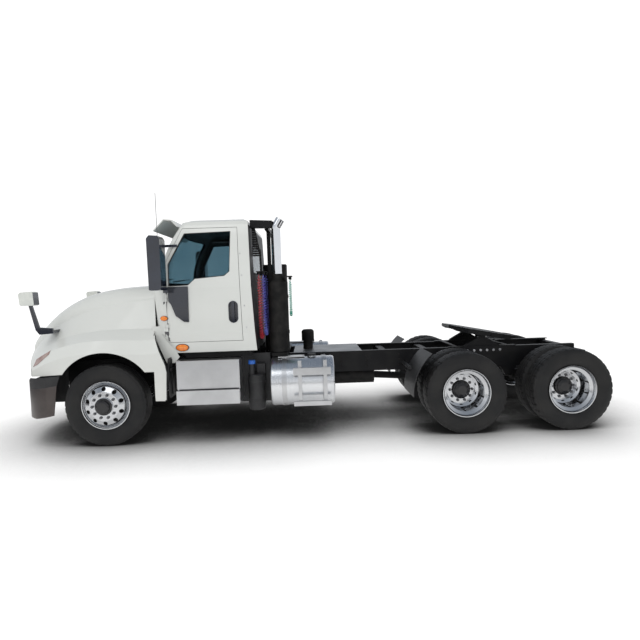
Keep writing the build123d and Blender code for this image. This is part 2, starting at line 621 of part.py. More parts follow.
def hood_body(inset, low):
    """Solid bounded by the hood's skin, set in by a thickness, from a low level up."""
    with BuildPart() as body:
        for row in HOOD_SECTIONS:
            x, top, h_top, z_side, h_side, z_waist, h_waist, z_crease, h_crease, z_lip, h_lip = row
            half = [
                (h_lip - inset, low), (h_lip - inset, z_lip - inset * 0.3),
                (h_crease - inset * 0.8, z_crease - inset),
                (h_waist - inset, z_waist - inset), (h_side - inset, z_side - inset * 0.5)]
            with BuildSketch(Plane.YZ.offset(ahead(x))):
                with BuildLine():
                    Polyline(*half)
                    ThreePointArc(
                        half[-1], ((h_top + h_side * 1.6) / 2.6 + 20 - inset,
                                   (top * 1.2 + z_side) / 2.2 + 22 - inset),
                        (h_top - inset, top - 12 - inset))
                    ThreePointArc((h_top - inset, top - 12 - inset), (0, top + 12 - inset),
                                  (inset - h_top, top - 12 - inset))
                    ThreePointArc(
                        (inset - h_top, top - 12 - inset),
                        (inset - (h_top + h_side * 1.6) / 2.6 - 20,
                         (top * 1.2 + z_side) / 2.2 + 22 - inset),
                        (-half[-1][0], half[-1][1]))
                    Polyline(*[(-y, z) for y, z in reversed(half)])
                    Line((-half[0][0], low), (half[0][0], low))
                make_face()
        loft()
    return body.part


def hood_outline(inset):
    """Side outline of the hood: leaning nose, level lower edge and stepped rear edge."""
    return [
        (ahead(-536), 2100), (ahead(-577), 1717), (ahead(-610), 1428), (ahead(-600), 1350),
        (ahead(-752), 1033),
        (ahead(-742), 544), (ahead(-620), 544), (ahead(-620), 905), (ahead(540), 905),
        (ahead(1160) - inset, 850),
        (ahead(1245) - inset, 1027), (ahead(1155) - inset, 1330), (ahead(1037) - inset, 1455),
        (ahead(773) - inset, 1675 + inset), (ahead(500), 2100)]


def nose_inside(inset):
    """Side outline of the hollow behind the nose, open below and to the rear."""
    return [
        (ahead(-1000), 2200), (ahead(-1000), 300), (ahead(1160) - inset, 300), (ahead(1160) - inset, 850),
        (ahead(1245) - inset, 1027), (ahead(1155) - inset, 1330), (ahead(1037) - inset, 1455),
        (ahead(773) - inset, 1675), (ahead(500), 2200)]


def nose_plan(inset, low, high):
    """Plan block that rounds the nose between the fenders."""
    with BuildPart() as block:
        with BuildSketch(Plane.XY.offset(low)):
            with BuildLine():
                tip, corner, side_y = ahead(1247) - inset, ahead(1090) - inset, 740.0 - inset * 0.4
                ThreePointArc((corner, -side_y), (tip, 0), (corner, side_y))
                ThreePointArc(
                    (corner, side_y), (ahead(940) - inset * 0.7, 985 - inset * 0.7),
                    (ahead(640), 1140 - inset))
                Polyline((ahead(640), 1140 - inset), (ahead(500), 1300), (ahead(-1100), 1300),
                         (ahead(-1100), -1300),
                         (ahead(500), -1300), (ahead(640), inset - 1140))
                ThreePointArc(
                    (ahead(640), inset - 1140), (ahead(940) - inset * 0.7, inset * 0.7 - 985),
                    (corner, -side_y))
            make_face()
        extrude(amount=high - low)
    return block.part


def hood_block(inset, low, outline):
    """The hood's whole block inside its skin, set in from the surface."""
    with BuildPart() as block:
        add(hood_body(inset, low))
        add(side_prism(outline, -1300, 1300), mode=Mode.INTERSECT)
        add(nose_plan(inset, 200, 2300), mode=Mode.INTERSECT)
    return block.part


with BuildPart() as hood_solid:
    add(hood_block(0, 400, hood_outline(0)))
with BuildPart() as hood_inside:
    add(hood_block(HOOD_T, 300, nose_inside(HOOD_T)))

HINGE_X, HINGE_Z, HINGE_Y = 1130.0, 850.0, 330.0
HINGE_PIN_R = 14.0
LAMP_OUTLINE = [
    (ahead(968), 985), (ahead(925), 1080), (ahead(690), 1198), (ahead(700), 1150), (ahead(880), 1020)]


def lamp_block(side, grow):
    """Block through the side of the nose with the headlamp's outline."""
    pair = sorted((side * 500, side * 1300))
    with BuildPart() as block:
        with BuildSketch(side_plane(pair[1])):
            with BuildLine():
                Polyline(*LAMP_OUTLINE, close=True)
            make_face()
            if grow:
                offset(amount=grow)
        extrude(amount=pair[1] - pair[0])
    return block.part


lamp_layer = hood_block(-3.0, 400, hood_outline(-3.0)) - hood_block(5.0, 300, nose_inside(5.0))
GRILLE_T = 15.0
hood_deep = hood_block(HOOD_T + GRILLE_T, 300, nose_inside(HOOD_T + GRILLE_T))
GRILLE_W, GRILLE_H, GRILLE_Z = 700.0, 420.0, 1120.0
GRILLE_LAP = 18.0       # the grille's frame behind the opening's edge
GRILLE_BARS = 7


def nose_block(width, height, corner):
    """Block through the nose with a rounded outline, round the grille's middle."""
    with BuildPart() as block:
        with BuildSketch(Plane.YZ.offset(ahead(900))):
            with Locations((0, GRILLE_Z)):
                RectangleRounded(width, height, corner)
        extrude(amount=500)
    return block.part


with BuildPart() as hood:
    add(hood_solid.part)
    add(hood_inside.part, mode=Mode.SUBTRACT)
    with Locations(Location((FRONT_X, 0, ARCH_Z), (90, 0, 0))):
        Cylinder(ARCH_R, 3000, mode=Mode.SUBTRACT)
    add(nose_block(GRILLE_W, GRILLE_H, 60), mode=Mode.SUBTRACT)
    # hinge lugs behind the strip under the grille
    for _, side in SIDES:
        lug = [
            (ahead(HINGE_X - 26), HINGE_Z), (ahead(HINGE_X - 26), HINGE_Z + 34),
            (ahead(1170), HINGE_Z + 34),
            (ahead(1158), HINGE_Z + 4), (ahead(HINGE_X + 20), HINGE_Z - 12)]
        add(side_prism(lug, side * HINGE_Y - 14, side * HINGE_Y + 14))
        with Locations(Location((ahead(HINGE_X), side * HINGE_Y, HINGE_Z), (90, 0, 0))):
            Cylinder(26, 28)
            Cylinder(HINGE_PIN_R + RUN_GAP, 28, mode=Mode.SUBTRACT)
# flange turned in round each wheel arch
with BuildPart() as arch_ring:
    with Locations(Location((FRONT_X, 0, ARCH_Z), (90, 0, 0))):
        Cylinder(ARCH_R + ARCH_LIP, 3000)
        Cylinder(ARCH_R, 3000, mode=Mode.SUBTRACT)
    add(box_at(ahead(-900), ahead(900), -900, 900, 0, 1500), mode=Mode.SUBTRACT)
hood_part = hood.part + ((hood_solid.part - hood_deep) & arch_ring.part)
for _, side in SIDES:
    hood_part -= lamp_layer & lamp_block(side, 0.4)
save(hood_part, "hood")

with BuildPart() as headlamps:
    for _, side in SIDES:
        add(lamp_layer & lamp_block(side, 0.0))
save(headlamps.part, "headlamps")

with BuildPart() as grille:
    add((hood_inside.part - hood_deep) & nose_block(GRILLE_W + 2 * GRILLE_LAP,
                                                    GRILLE_H + 2 * GRILLE_LAP, 70))
    pitch = GRILLE_H / GRILLE_BARS
    with BuildSketch(Plane.YZ.offset(ahead(900))):
        for column in (-0.25, 0.25):
            for row in range(GRILLE_BARS):
                with Locations((column * (GRILLE_W - 10), GRILLE_Z - GRILLE_H / 2 + pitch * (row + 0.5))):
                    RectangleRounded(GRILLE_W / 2 - 40, pitch - 22, 12)
    extrude(amount=500, mode=Mode.SUBTRACT)
save(grille.part, "grille")

with BuildPart() as hood_hinge:
    for _, side in SIDES:
        cheek = [
            (RAIL_FRONT - 20, 765), (RAIL_FRONT - 20, 835), (ahead(HINGE_X - 12), HINGE_Z + 13),
            (ahead(HINGE_X + 8), HINGE_Z + 12), (ahead(HINGE_X + 14), HINGE_Z),
            (ahead(HINGE_X + 8), HINGE_Z - 12),
            (ahead(HINGE_X - 12), HINGE_Z - 16)]
        add(side_prism(cheek, *sorted((side * (HINGE_Y + 22), side * (HINGE_Y + 48)))))
        with Locations(Location((ahead(HINGE_X), side * (HINGE_Y + 16), HINGE_Z), (90, 0, 0))):
            Cylinder(HINGE_PIN_R, 64)
with BuildPart() as frame_brackets:
    add(crossmembers.part)
    add(hood_hinge.part)
save(frame_brackets.part, "crossmembers")

# ---------------------------------------------------------------- cab shell
WALL = 45.0             # whole thickness of a door or wall
BELT_Z = 1915.0
SHELL_TOP = 2690.0
SILL_Z = 1110.0
# (z, rear x, side corner x, front edge x, front middle x, half width, half width at the front edge)
LOWER_SECTIONS = (
    (SILL_Z, -1868.0, -900.0, -780.0, -720.0, 1010.0, 930.0),
    (1350.0, -1853.0, -800.0, -628.0, -600.0, 1050.0, 930.0),
    (BELT_Z, -1825.0, -790.0, -575.0, -540.0, 1050.0, 860.0),
)
UPPER_SECTIONS = (
    (BELT_Z, -1825.0, -800.0, -690.0, -585.0, 1050.0, 930.0),
    (2290.0, -1816.0, -840.0, -745.0, -640.0, 1012.0, 900.0),
    (SHELL_TOP, -1806.0, -1040.0, -955.0, -870.0, 950.0, 850.0),
)


def cab_solid(sections, inset, ruled):
    """Closed body through plan sections, set in from the outer skin."""
    with BuildPart() as body:
        for z, rear, corner, edge, middle, half, front_half in sections:
            with BuildSketch(Plane.XY.offset(z)):
                with BuildLine():
                    y, f = half - inset, front_half - inset * 0.8
                    run, drop = edge - corner - inset * 0.5, y - f
                    radius = (run * run + drop * drop) / (2 * drop)
                    half_turn = acos((radius - drop) / radius) / 2
                    bend = (ahead(corner) - inset * 0.5 + radius * sin(half_turn),
                            y - radius * (1 - cos(half_turn)))
                    Line((ahead(rear) + inset, -y), (ahead(rear) + inset, y))
                    Line((ahead(rear) + inset, y), (ahead(corner) - inset * 0.5, y))
                    ThreePointArc((ahead(corner) - inset * 0.5, y), bend, (ahead(edge) - inset, f))
                    ThreePointArc((ahead(edge) - inset, f), (ahead(middle) - inset, 0),
                                  (ahead(edge) - inset, -f))
                    ThreePointArc((ahead(edge) - inset, -f), (bend[0], -bend[1]),
                                  (ahead(corner) - inset * 0.5, -y))
                    Line((ahead(corner) - inset * 0.5, -y), (ahead(rear) + inset, -y))
                make_face()
        loft(ruled=ruled)
    return body.part


def shell_layers(outer_inset, inner_inset):
    """Lower and upper layers of the cab between two depths below its skin."""
    lower = cab_solid(LOWER_SECTIONS, outer_inset, True)
    upper = cab_solid(UPPER_SECTIONS, outer_inset, False)
    # the shelf ahead of the windscreen's foot
    shelf = lower & box_at(ahead(-765), ahead(-400), -1100, 1100, BELT_Z - inner_inset + outer_inset,
                           BELT_Z)
    hollow_lower = lower - cab_solid(LOWER_SECTIONS, inner_inset, True) + shelf
    hollow_upper = upper - cab_solid(UPPER_SECTIONS, inner_inset, False)
    return hollow_lower, hollow_upper


WALL_LAYERS = shell_layers(0.0, WALL)
GLASS_LAYERS = shell_layers(18.0, 24.0)


def inside(layers, region):
    """The share of the cab's layers that lies in a region, as one piece."""
    with BuildPart() as share:
        for layer in layers:
            clipped = layer & region
            if clipped.volume > 1.0:
                add(clipped)
    return share.part


DOOR_OUTLINE = [
    (ahead(-780), 1245), (ahead(-780), 2235), (ahead(-992), 2650), (ahead(-1668), 2650),
    (ahead(-1685), 1899),
    (ahead(-1698), 1245)]
OPENING = [
    (ahead(-775), 1240), (ahead(-775), 2236), (ahead(-989), 2655), (ahead(-1662), 2655),
    (ahead(-1680), 1899),
    (ahead(-1693), 1240)]
OPENING = [(x - 10 if i >= 3 else x, z) for i, (x, z) in enumerate(OPENING)]
WINDOW = [
    (ahead(-808), 1941), (ahead(-805), 2212), (ahead(-1013), 2592), (ahead(-1588), 2605),
    (ahead(-1566), 2104),
    (ahead(-1500), 2050), (ahead(-1138), 2023), (ahead(-1050), 1947)]
FRONT_CUT = [
    (ahead(-300), SILL_Z - 50), (ahead(-300), 2800), (ahead(-1014), 2800), (ahead(-1014), 2701),
    (ahead(-775), 2236), (ahead(-775), SILL_Z - 50)]
BACK_CUT = ahead(-1765)

with BuildPart() as cab_front:
    add(inside(WALL_LAYERS, side_prism(FRONT_CUT, -1200, 1200)))
    with BuildSketch(Plane.YZ.offset(ahead(-1000))) as screen_hole:
        with BuildLine():
            Polyline((-850, 1985), (850, 1985), (790, 2620), (-790, 2620), close=True)
        make_face()
        fillet(screen_hole.vertices(), 70)
    extrude(amount=700, mode=Mode.SUBTRACT)
DOOR_HINGE = (ahead(-777.0), 1064.0)
DOOR_HINGE_Z = (1430.0, 1800.0)
BARREL_R = 13.0


def hinge_leaves(side, from_x, to_x, z_low, z_high, pin):
    """Leaves with a barrel each, or the pins that turn in them."""
    x, y = DOOR_HINGE
    with BuildPart() as leaves:
        for z in DOOR_HINGE_Z:
            add(box_at(from_x, to_x, *sorted((side * 1050, side * 1060)), z + z_low, z + z_high))
            with Locations((x, side * y, z + (z_low + z_high) / 2)):
                Cylinder(BARREL_R, z_high - z_low)
            with Locations((x, side * y, z)):
                if pin:
                    Cylinder(7, 90)
                else:
                    Cylinder(7 + RUN_GAP, 200, mode=Mode.SUBTRACT)
    return leaves.part


HANDLE_X, HANDLE_Z = ahead(-1595.0), 1603.0
HANDLE_W, HANDLE_H = 118.0, 272.0
HANDLE_RIM = 13.0
HANDLE_DEPTH = 26.0
HANDLE_GRIP = 30.0
DOOR_FACE = 1050.0      # the doors' flat outer face


def door_handle(side, cup):
    """The hollow behind a door handle, or the raised rim and the upright grip across it."""
    with BuildPart() as part:
        if cup:
            with BuildSketch(Plane((HANDLE_X, side * DOOR_FACE, HANDLE_Z), x_dir=(1, 0, 0),
                                   z_dir=(0, side, 0))):
                SlotOverall(HANDLE_H - 2 * HANDLE_RIM, HANDLE_W - 2 * HANDLE_RIM, rotation=90)
            extrude(amount=-HANDLE_DEPTH)
        else:
            with BuildSketch(Plane((HANDLE_X, side * (DOOR_FACE - 4), HANDLE_Z), x_dir=(1, 0, 0),
                                   z_dir=(0, side, 0))):
                SlotOverall(HANDLE_H, HANDLE_W, rotation=90)
                SlotOverall(HANDLE_H - 2 * HANDLE_RIM, HANDLE_W - 2 * HANDLE_RIM, rotation=90,
                            mode=Mode.SUBTRACT)
            extrude(amount=8)
            with BuildSketch(Plane((HANDLE_X, side * (DOOR_FACE - 12), HANDLE_Z), x_dir=(1, 0, 0),
                                   z_dir=(0, side, 0))):
                SlotOverall(HANDLE_H - HANDLE_RIM, HANDLE_GRIP, rotation=90)
            extrude(amount=22)
    return part.part


with BuildPart() as front_leaves:
    for _, side in SIDES:
        add(hinge_leaves(side, DOOR_HINGE[0], ahead(-735), -45, -1, False))
cab_front_part = cab_front.part + front_leaves.part
save(cab_front_part, "cab_front")

with BuildPart() as screen_block:
    with BuildSketch(Plane.YZ.offset(ahead(-1000))) as pane:
        with BuildLine():
            Polyline((-850, 1985), (850, 1985), (790, 2620), (-790, 2620), close=True)
        make_face()
        fillet(pane.vertices(), 70)
    extrude(amount=700)
windscreen = inside(GLASS_LAYERS, screen_block.part)

cab_side_parts = []
for side_name, side in SIDES:
    y_low, y_high = sorted((side * 700, side * 1200))
    with BuildPart() as cab_side:
        add(inside(WALL_LAYERS, box_at(BACK_CUT, ahead(-300), y_low, y_high, SILL_Z - 50, 2800)))
        add(side_prism(FRONT_CUT, -1200, 1200), mode=Mode.SUBTRACT)
        add(side_prism(OPENING, -1200, 1200), mode=Mode.SUBTRACT)
    cab_side_parts.append(cab_side.part)
    with BuildPart() as door:
        add(inside(WALL_LAYERS, side_prism(DOOR_OUTLINE, y_low, y_high)))
        add(side_prism(WINDOW, -1200, 1200), mode=Mode.SUBTRACT)
        add(door_handle(side, True), mode=Mode.SUBTRACT)
        add(door_handle(side, False))
        add(hinge_leaves(side, ahead(-800), DOOR_HINGE[0], 1, 45, True))
    save(door.part, f"door_{side_name}")
    save(inside(GLASS_LAYERS, side_prism(WINDOW, y_low, y_high)), f"door_glass_{side_name}")

with BuildPart() as cab_sides:
    for piece in cab_side_parts:
        add(piece)
save(cab_sides.part, "cab_sides")

REAR_PANE = (1240.0, 400.0, 2290.0)
with BuildPart() as cab_back:
    add(inside(WALL_LAYERS, box_at(ahead(-2000), BACK_CUT, -1200, 1200, SILL_Z - 50, 2800)))
    with BuildSketch(Plane.YZ.offset(ahead(-1900))):
        with Locations((0, REAR_PANE[2])):
            RectangleRounded(REAR_PANE[0], REAR_PANE[1], 60)
    extrude(amount=200, mode=Mode.SUBTRACT)
save(cab_back.part, "cab_back")

with BuildPart() as rear_block:
    with BuildSketch(Plane.YZ.offset(ahead(-1900))):
        with Locations((0, REAR_PANE[2])):
            RectangleRounded(REAR_PANE[0], REAR_PANE[1], 60)
    extrude(amount=200)
with BuildPart() as cab_glass:
    add(windscreen)
    add(inside(GLASS_LAYERS, rear_block.part))
save(cab_glass.part, "cab_glass")

ROOF_SECTIONS = (
    (SHELL_TOP, -1806.0, -1040.0, -955.0, -870.0, 950.0, 850.0),
    (2735.0, -1796.0, -1050.0, -970.0, -885.0, 905.0, 820.0),
    (2775.0, -1730.0, -1120.0, -1060.0, -990.0, 760.0, 700.0),
)
ROOF_INSIDE = (
    (SHELL_TOP, -1806.0, -1040.0, -955.0, -870.0, 950.0, 850.0),
    (2735.0, -1740.0, -1100.0, -1040.0, -960.0, 860.0, 780.0),
)
with BuildPart() as cab_roof:
    add(cab_solid(ROOF_SECTIONS, 0.0, True))
    add(cab_solid(ROOF_INSIDE, WALL, True), mode=Mode.SUBTRACT)
save(cab_roof.part, "cab_roof")

# ---------------------------------------------------------------- cab floor and interior
FLOOR_TOP = 1160.0
FLOOR_SECTIONS = tuple((z,) + LOWER_SECTIONS[0][1:] for z in (SILL_Z, FLOOR_TOP))
with BuildPart() as cab_floor:
    add(cab_solid(FLOOR_SECTIONS, WALL + 12.0, True))
    # sills under the doors
    for _, side in SIDES:
        add(box_at(ahead(-1800), ahead(-960), *sorted((side * 890, side * 950)), 1036, SILL_Z))
        add(box_at(ahead(-1800), ahead(-1740), *sorted((side * RAIL_OUT, side * 900)), 1060, SILL_Z))
        add(box_at(ahead(-960), ahead(-900), *sorted((side * RAIL_OUT, side * 900)), 1060, SILL_Z))
    # supports down to the rails
    for x_low, x_high in ((-1840, -1740), (-960, -860)):
        for _, side in SIDES:
            y_pair = sorted((side * (RAIL_OUT - 70), side * RAIL_OUT))
            add(box_at(ahead(x_low), ahead(x_high), y_pair[0], y_pair[1], RAIL_TOP, SILL_Z))
save(cab_floor.part, "cab_floor")

DASH_END = 985.0        # half length of the dashboard between the doors
STEER_WHEEL = (ahead(-1150.0), 480.0, 1850.0)
STEER_TILT = -38.0
with BuildPart() as dashboard:
    dash = [
        (ahead(-560), 1500), (ahead(-560), 1840), (ahead(-760), 1850), (ahead(-930), 1800),
        (ahead(-985), 1700),
        (ahead(-930), 1500)]
    add(side_prism(dash, -1100, 1100) & cab_solid(LOWER_SECTIONS, WALL + SEAT_GAP, True))
    # ends cut back where the doors' front edges swing
    for _, side in SIDES:
        add(box_at(ahead(-1000), ahead(-730), *sorted((side * DASH_END, side * 1100)), 1490, 1860),
            mode=Mode.SUBTRACT)
    with Locations(Location(STEER_WHEEL, (0, STEER_TILT, 0))):
        with Locations((0, 0, -195)):
            Cylinder(26, 340)
            Cylinder(12 + RUN_GAP, 340, mode=Mode.SUBTRACT)
save(dashboard.part, "dashboard")

with BuildPart() as steering_wheel:
    with Locations(Location(STEER_WHEEL, (0, STEER_TILT, 0))):
        Torus(215, 16)
        Cylinder(60, 36)
        with Locations((0, 0, -100)):
            Cylinder(12, 200)
        for angle in (0, 120, 240):
            with Locations(Rot(0, 0, angle)):
                Box(215, 34, 14, align=(Align.MIN, Align.CENTER, Align.CENTER))
save(steering_wheel.part, "steering_wheel")

with BuildPart() as seats:
    for _, side in SIDES:
        y_mid = side * 480.0
        cushion = [
            (ahead(-1210), 1500), (ahead(-1215), 1600), (ahead(-1260), 1625), (ahead(-1640), 1590),
            (ahead(-1660), 1500)]
        back = [
            (ahead(-1560), 1560), (ahead(-1640), 2080), (ahead(-1655), 2270), (ahead(-1730), 2270),
            (ahead(-1745), 2060),
            (ahead(-1690), 1540)]
        add(side_prism(cushion, y_mid - 255, y_mid + 255))
        add(side_prism(back, y_mid - 245, y_mid + 245))
        add(box_at(ahead(-1600), ahead(-1280), y_mid - 180, y_mid + 180, FLOOR_TOP, 1500))
save(seats.part, "seats")

# ---------------------------------------------------------------- visor, mirrors, lamps and aerial
with BuildPart() as sun_visor:
    visor = [
        (ahead(-905), 2700), (ahead(-830), 2787), (ahead(-724), 2797), (ahead(-584), 2653),
        (ahead(-596), 2646),
        (ahead(-730), 2783), (ahead(-822), 2774), (ahead(-893), 2693)]
    add(side_prism(visor, -830, 830))
    add(cab_solid(ROOF_SECTIONS, -SEAT_GAP, True), mode=Mode.SUBTRACT)
    add(cab_solid(UPPER_SECTIONS, -SEAT_GAP, False), mode=Mode.SUBTRACT)
save(sun_visor.part, "sun_visor")


MIRROR_PAD = [
    (ahead(-1045), 1495), (ahead(-984), 1500), (ahead(-885), 1577), (ahead(-838), 1712),
    (ahead(-806), 1760),
    (ahead(-806), 1935), (ahead(-1052), 1935)]
MIRROR_HOUSING = [
    (ahead(-672), 1900), (ahead(-668), 2500), (ahead(-700), 2538), (ahead(-800), 2530), (ahead(-822), 2490),
    (ahead(-818), 1920), (ahead(-790), 1894), (ahead(-700), 1894)]


def cab_mirror(side):
    """Tall mirror housing on its two arms, with its pad on the door."""
    housing = side_prism(MIRROR_HOUSING, *sorted((side * 1150, side * 1370)), 12)
    pad = side_prism(MIRROR_PAD, *sorted((side * 1050, side * 1064)))
    lower_arm = box_at(ahead(-842), ahead(-786), *sorted((side * 1060, side * 1200)), 1862, 1930)
    upper_foot = box_at(ahead(-930), ahead(-742), *sorted((side * 940, side * 1014)), 2425, 2455)
    upper_foot -= cab_solid(UPPER_SECTIONS, -SEAT_GAP, False)
    upper_foot -= box_at(ahead(-880), ahead(-700), *sorted((side * 900, side * 994)), 2400, 2500)
    upper_arm = box_at(ahead(-768), ahead(-742), *sorted((side * 1004, side * 1200)), 2425, 2455)
    with BuildPart() as mirror_part:
        for piece in (housing, lower_arm, pad, upper_foot, upper_arm):
            add(piece)
        if side > 0:
            with Locations((ahead(-790), 1330, 2780)):
                Cylinder(3, 500)
    return mirror_part.part


for side_name, side in SIDES:
    save(cab_mirror(side), f"cab_mirror_{side_name}")

HOOD_MIRROR_HEAD = [
    (ahead(864), 1770), (ahead(872), 1920), (ahead(900), 1933), (ahead(1030), 1925), (ahead(1050), 1900),
    (ahead(1040), 1770), (ahead(1020), 1759), (ahead(880), 1759)]
HOOD_MIRROR_ARM = [
    (ahead(690), 1400), (ahead(694), 1467), (ahead(860), 1482), (ahead(935), 1765), (ahead(975), 1765),
    (ahead(905), 1450), (ahead(860), 1390)]
with BuildPart() as hood_mirrors:
    for _, side in SIDES:
        add(side_prism(HOOD_MIRROR_HEAD, *sorted((side * 880, side * 1010)), 10))
        add(side_prism(HOOD_MIRROR_ARM, *sorted((side * 905, side * 935))))
        add(box_at(ahead(700), ahead(850), *sorted((side * 640, side * 935)), 1404, 1440))
    add(hood_solid.part, mode=Mode.SUBTRACT)
save(hood_mirrors.part, "hood_mirrors")

# ---------------------------------------------------------------- steps, tanks and their brackets
def step_box(side):
    """Two aluminium treads between end plates, hung from the rail."""
    y_out, y_in = side * 1180.0, side * 800.0
    with BuildPart() as part:
        for z_top, z_low, out in ((1022.0, 672.0, 1150.0), (660.0, 486.0, 1200.0)):
            pair = sorted((side * (out - 30), side * out))
            add(box_at(ahead(-1654), ahead(-885), pair[0], pair[1], z_low, z_top))
            pair = sorted((y_in, side * (out - 2)))
            add(box_at(ahead(-1654), ahead(-885), pair[0], pair[1], z_top - 25, z_top))
        for x in (-1654.0, -905.0):
            pair = sorted((y_in, side * 1125.0))
            add(box_at(ahead(x), ahead(x) + 20, pair[0], pair[1], 486, 1000))
        pair = sorted((side * RAIL_OUT, y_in + side * 20))
        for x in (-1500.0, -1060.0):
            add(box_at(ahead(x), ahead(x) + 60, pair[0], pair[1], 900, 980))
            add(box_at(ahead(x), ahead(x) + 60, *sorted((y_in, y_in + side * 20)), 500, 1000))
    return part.part


with BuildPart() as step_boxes:
    for _, side in SIDES:
        add(step_box(side))
save(step_boxes.part, "step_boxes")

TANK_R = 305.0
TANK_Z = 690.0
TANK_Y = 880.0
TANK_X = (-2825.0, -2030.0)
FILLER_X, FILLER_R = -2545.0, 54.0


def fuel_tank(side):
    """Round fuel tank on two straps and brackets."""
    length = TANK_X[1] - TANK_X[0]
    middle = ahead((TANK_X[0] + TANK_X[1]) / 2)
    with BuildPart() as part:
        with Locations(Location((middle, side * TANK_Y, TANK_Z), (0, 90, 0))):
            Cylinder(TANK_R, length)
        fillet(part.edges().filter_by(GeomType.CIRCLE), 26)
        # rolled seams near the ends, filler neck and cap
        for seam_x in (TANK_X[0] + 40, TANK_X[1] - 40):
            with Locations(Location((ahead(seam_x), side * TANK_Y, TANK_Z), (0, 90, 0))):
                Cylinder(TANK_R + 3, 16)
        with Locations((ahead(FILLER_X), side * TANK_Y, TANK_Z + TANK_R)):
            Cylinder(FILLER_R - 9, 44)
        with Locations((ahead(FILLER_X), side * TANK_Y, TANK_Z + TANK_R + 22)):
            Cylinder(FILLER_R, 26)
    return part.part


def tank_brackets(side):
    """Straps round the tank, brackets to the rail and the steps over the tank's face."""
    with BuildPart() as part:
        for x in (-2200.0, -2700.0):
            with Locations(Location((ahead(x), side * TANK_Y, TANK_Z), (0, 90, 0))):
                Cylinder(TANK_R + 6, 60)
                Cylinder(TANK_R + SEAT_GAP, 60, mode=Mode.SUBTRACT)
            pair = sorted((side * RAIL_OUT, side * (TANK_Y - TANK_R - 2)))
            add(box_at(ahead(x) - 30, ahead(x) + 30, pair[0], pair[1], 560, 960))
        # tread strip along the tank's top
        add(box_at(ahead(-2455), ahead(-2120), *sorted((side * (TANK_Y - 70), side * (TANK_Y + 70))),
                   TANK_Z + TANK_R + 1, TANK_Z + TANK_R + 13))
    return part.part


STEP_OUT = 1245.0       # outer face of the steps over the tanks


def tank_steps(side):
    """Two boxed treads on a pair of uprights over the tank's outer face."""
    face = TANK_Y + TANK_R + 6
    with BuildPart() as part:
        for x in (-2396.0, -2707.0):
            add(box_at(ahead(x) - 22, ahead(x) + 22, *sorted((side * (face + 2), side * (face + 14))),
                       430, 985))
            for z in (470.0, 905.0):
                add(box_at(ahead(x) - 22, ahead(x) + 22,
                           *sorted((side * (TANK_Y + 200), side * (face + 14))), z, z + 10))
        for z_low, z_high in ((812.0, 900.0), (435.0, 488.0)):
            add(box_at(ahead(-2775), ahead(-2316), *sorted((side * (face + 8), side * STEP_OUT)), z_low,
                       z_high))
            add(box_at(ahead(-2767), ahead(-2324), *sorted((side * (face + 16), side * (STEP_OUT - 8))),
                       z_low - 1,
                       z_high - 8), mode=Mode.SUBTRACT)
        with Locations(Location((ahead((TANK_X[0] + TANK_X[1]) / 2), side * TANK_Y, TANK_Z), (0, 90, 0))):
            Cylinder(TANK_R + SEAT_GAP, 2000, mode=Mode.SUBTRACT)
    return part.part


with BuildPart() as fuel_tanks:
    for _, side in SIDES:
        add(fuel_tank(side))
save(fuel_tanks.part, "fuel_tanks")
with BuildPart() as tank_straps:
    for _, side in SIDES:
        add(tank_brackets(side))
        add(tank_steps(side))
save(tank_straps.part, "tank_straps")

DEF_X, DEF_Y, DEF_R = ahead(-1835.0), 900.0, 108.0
DEF_LOW, DEF_HIGH = 343.0, 800.0
DEF_NECK_X, DEF_NECK_Y, DEF_NECK_R = ahead(-1785.0), 945.0, 34.0
DEF_CAP_TOP = 975.0

with BuildPart() as def_tank:
    with Locations((DEF_X, DEF_Y, (DEF_LOW + DEF_HIGH) / 2)):
        Cylinder(DEF_R, DEF_HIGH - DEF_LOW)
    fillet(def_tank.edges().filter_by(GeomType.CIRCLE), 22)
    # clamp bands, filler neck and its cap
    for band_z in (DEF_LOW + 110, DEF_HIGH - 110):
        with Locations((DEF_X, DEF_Y, band_z)):
            Cylinder(DEF_R + 5, 34)
    with Locations((DEF_NECK_X, DEF_NECK_Y, (DEF_HIGH - 10 + DEF_CAP_TOP) / 2)):
        Cylinder(DEF_NECK_R, DEF_CAP_TOP - DEF_HIGH + 10)
    with Locations((DEF_NECK_X, DEF_NECK_Y, DEF_CAP_TOP - 22)):
        Cylinder(DEF_NECK_R + 10, 44)
    # pump housing on the shelf that ties the tank to the rail
    add(box_at(DEF_X - 110, DEF_X - 5, 640, 880, DEF_HIGH - 10, DEF_HIGH + 120))
    add(box_at(DEF_X - 60, DEF_X + 60, RAIL_OUT, DEF_Y - 60, DEF_HIGH - 60, DEF_HIGH - 5))
    add(box_at(DEF_X - 45, DEF_X + 45, RAIL_OUT, RAIL_OUT + 12, DEF_HIGH - 60, RAIL_TOP - 20))
save(def_tank.part, "def_tank")

# ---------------------------------------------------------------- exhaust and things behind the cab
STACK_X, STACK_Y, STACK_R = ahead(-2140.0), 760.0, 58.0
STACK_WALL = 3.0
STACK_FOOT = 2040.0     # where the pipe seats in the muffler's collar
STACK_BEND = 2660.0
STACK_TIP = (-60.0, 100.0)      # the tip's reach back and up from the bend
with BuildPart() as exhaust_stack:
    with BuildLine() as stack_line:
        FilletPolyline((STACK_X, STACK_Y, STACK_FOOT), (STACK_X, STACK_Y, STACK_BEND),
                       (STACK_X + STACK_TIP[0], STACK_Y, STACK_BEND + STACK_TIP[1]), radius=90)
    with BuildSketch(Plane((STACK_X, STACK_Y, STACK_FOOT), z_dir=(0, 0, 1))):
        Circle(STACK_R)
        Circle(STACK_R - STACK_WALL, mode=Mode.SUBTRACT)
    sweep(path=stack_line.line)
save(exhaust_stack.part, "exhaust_stack")

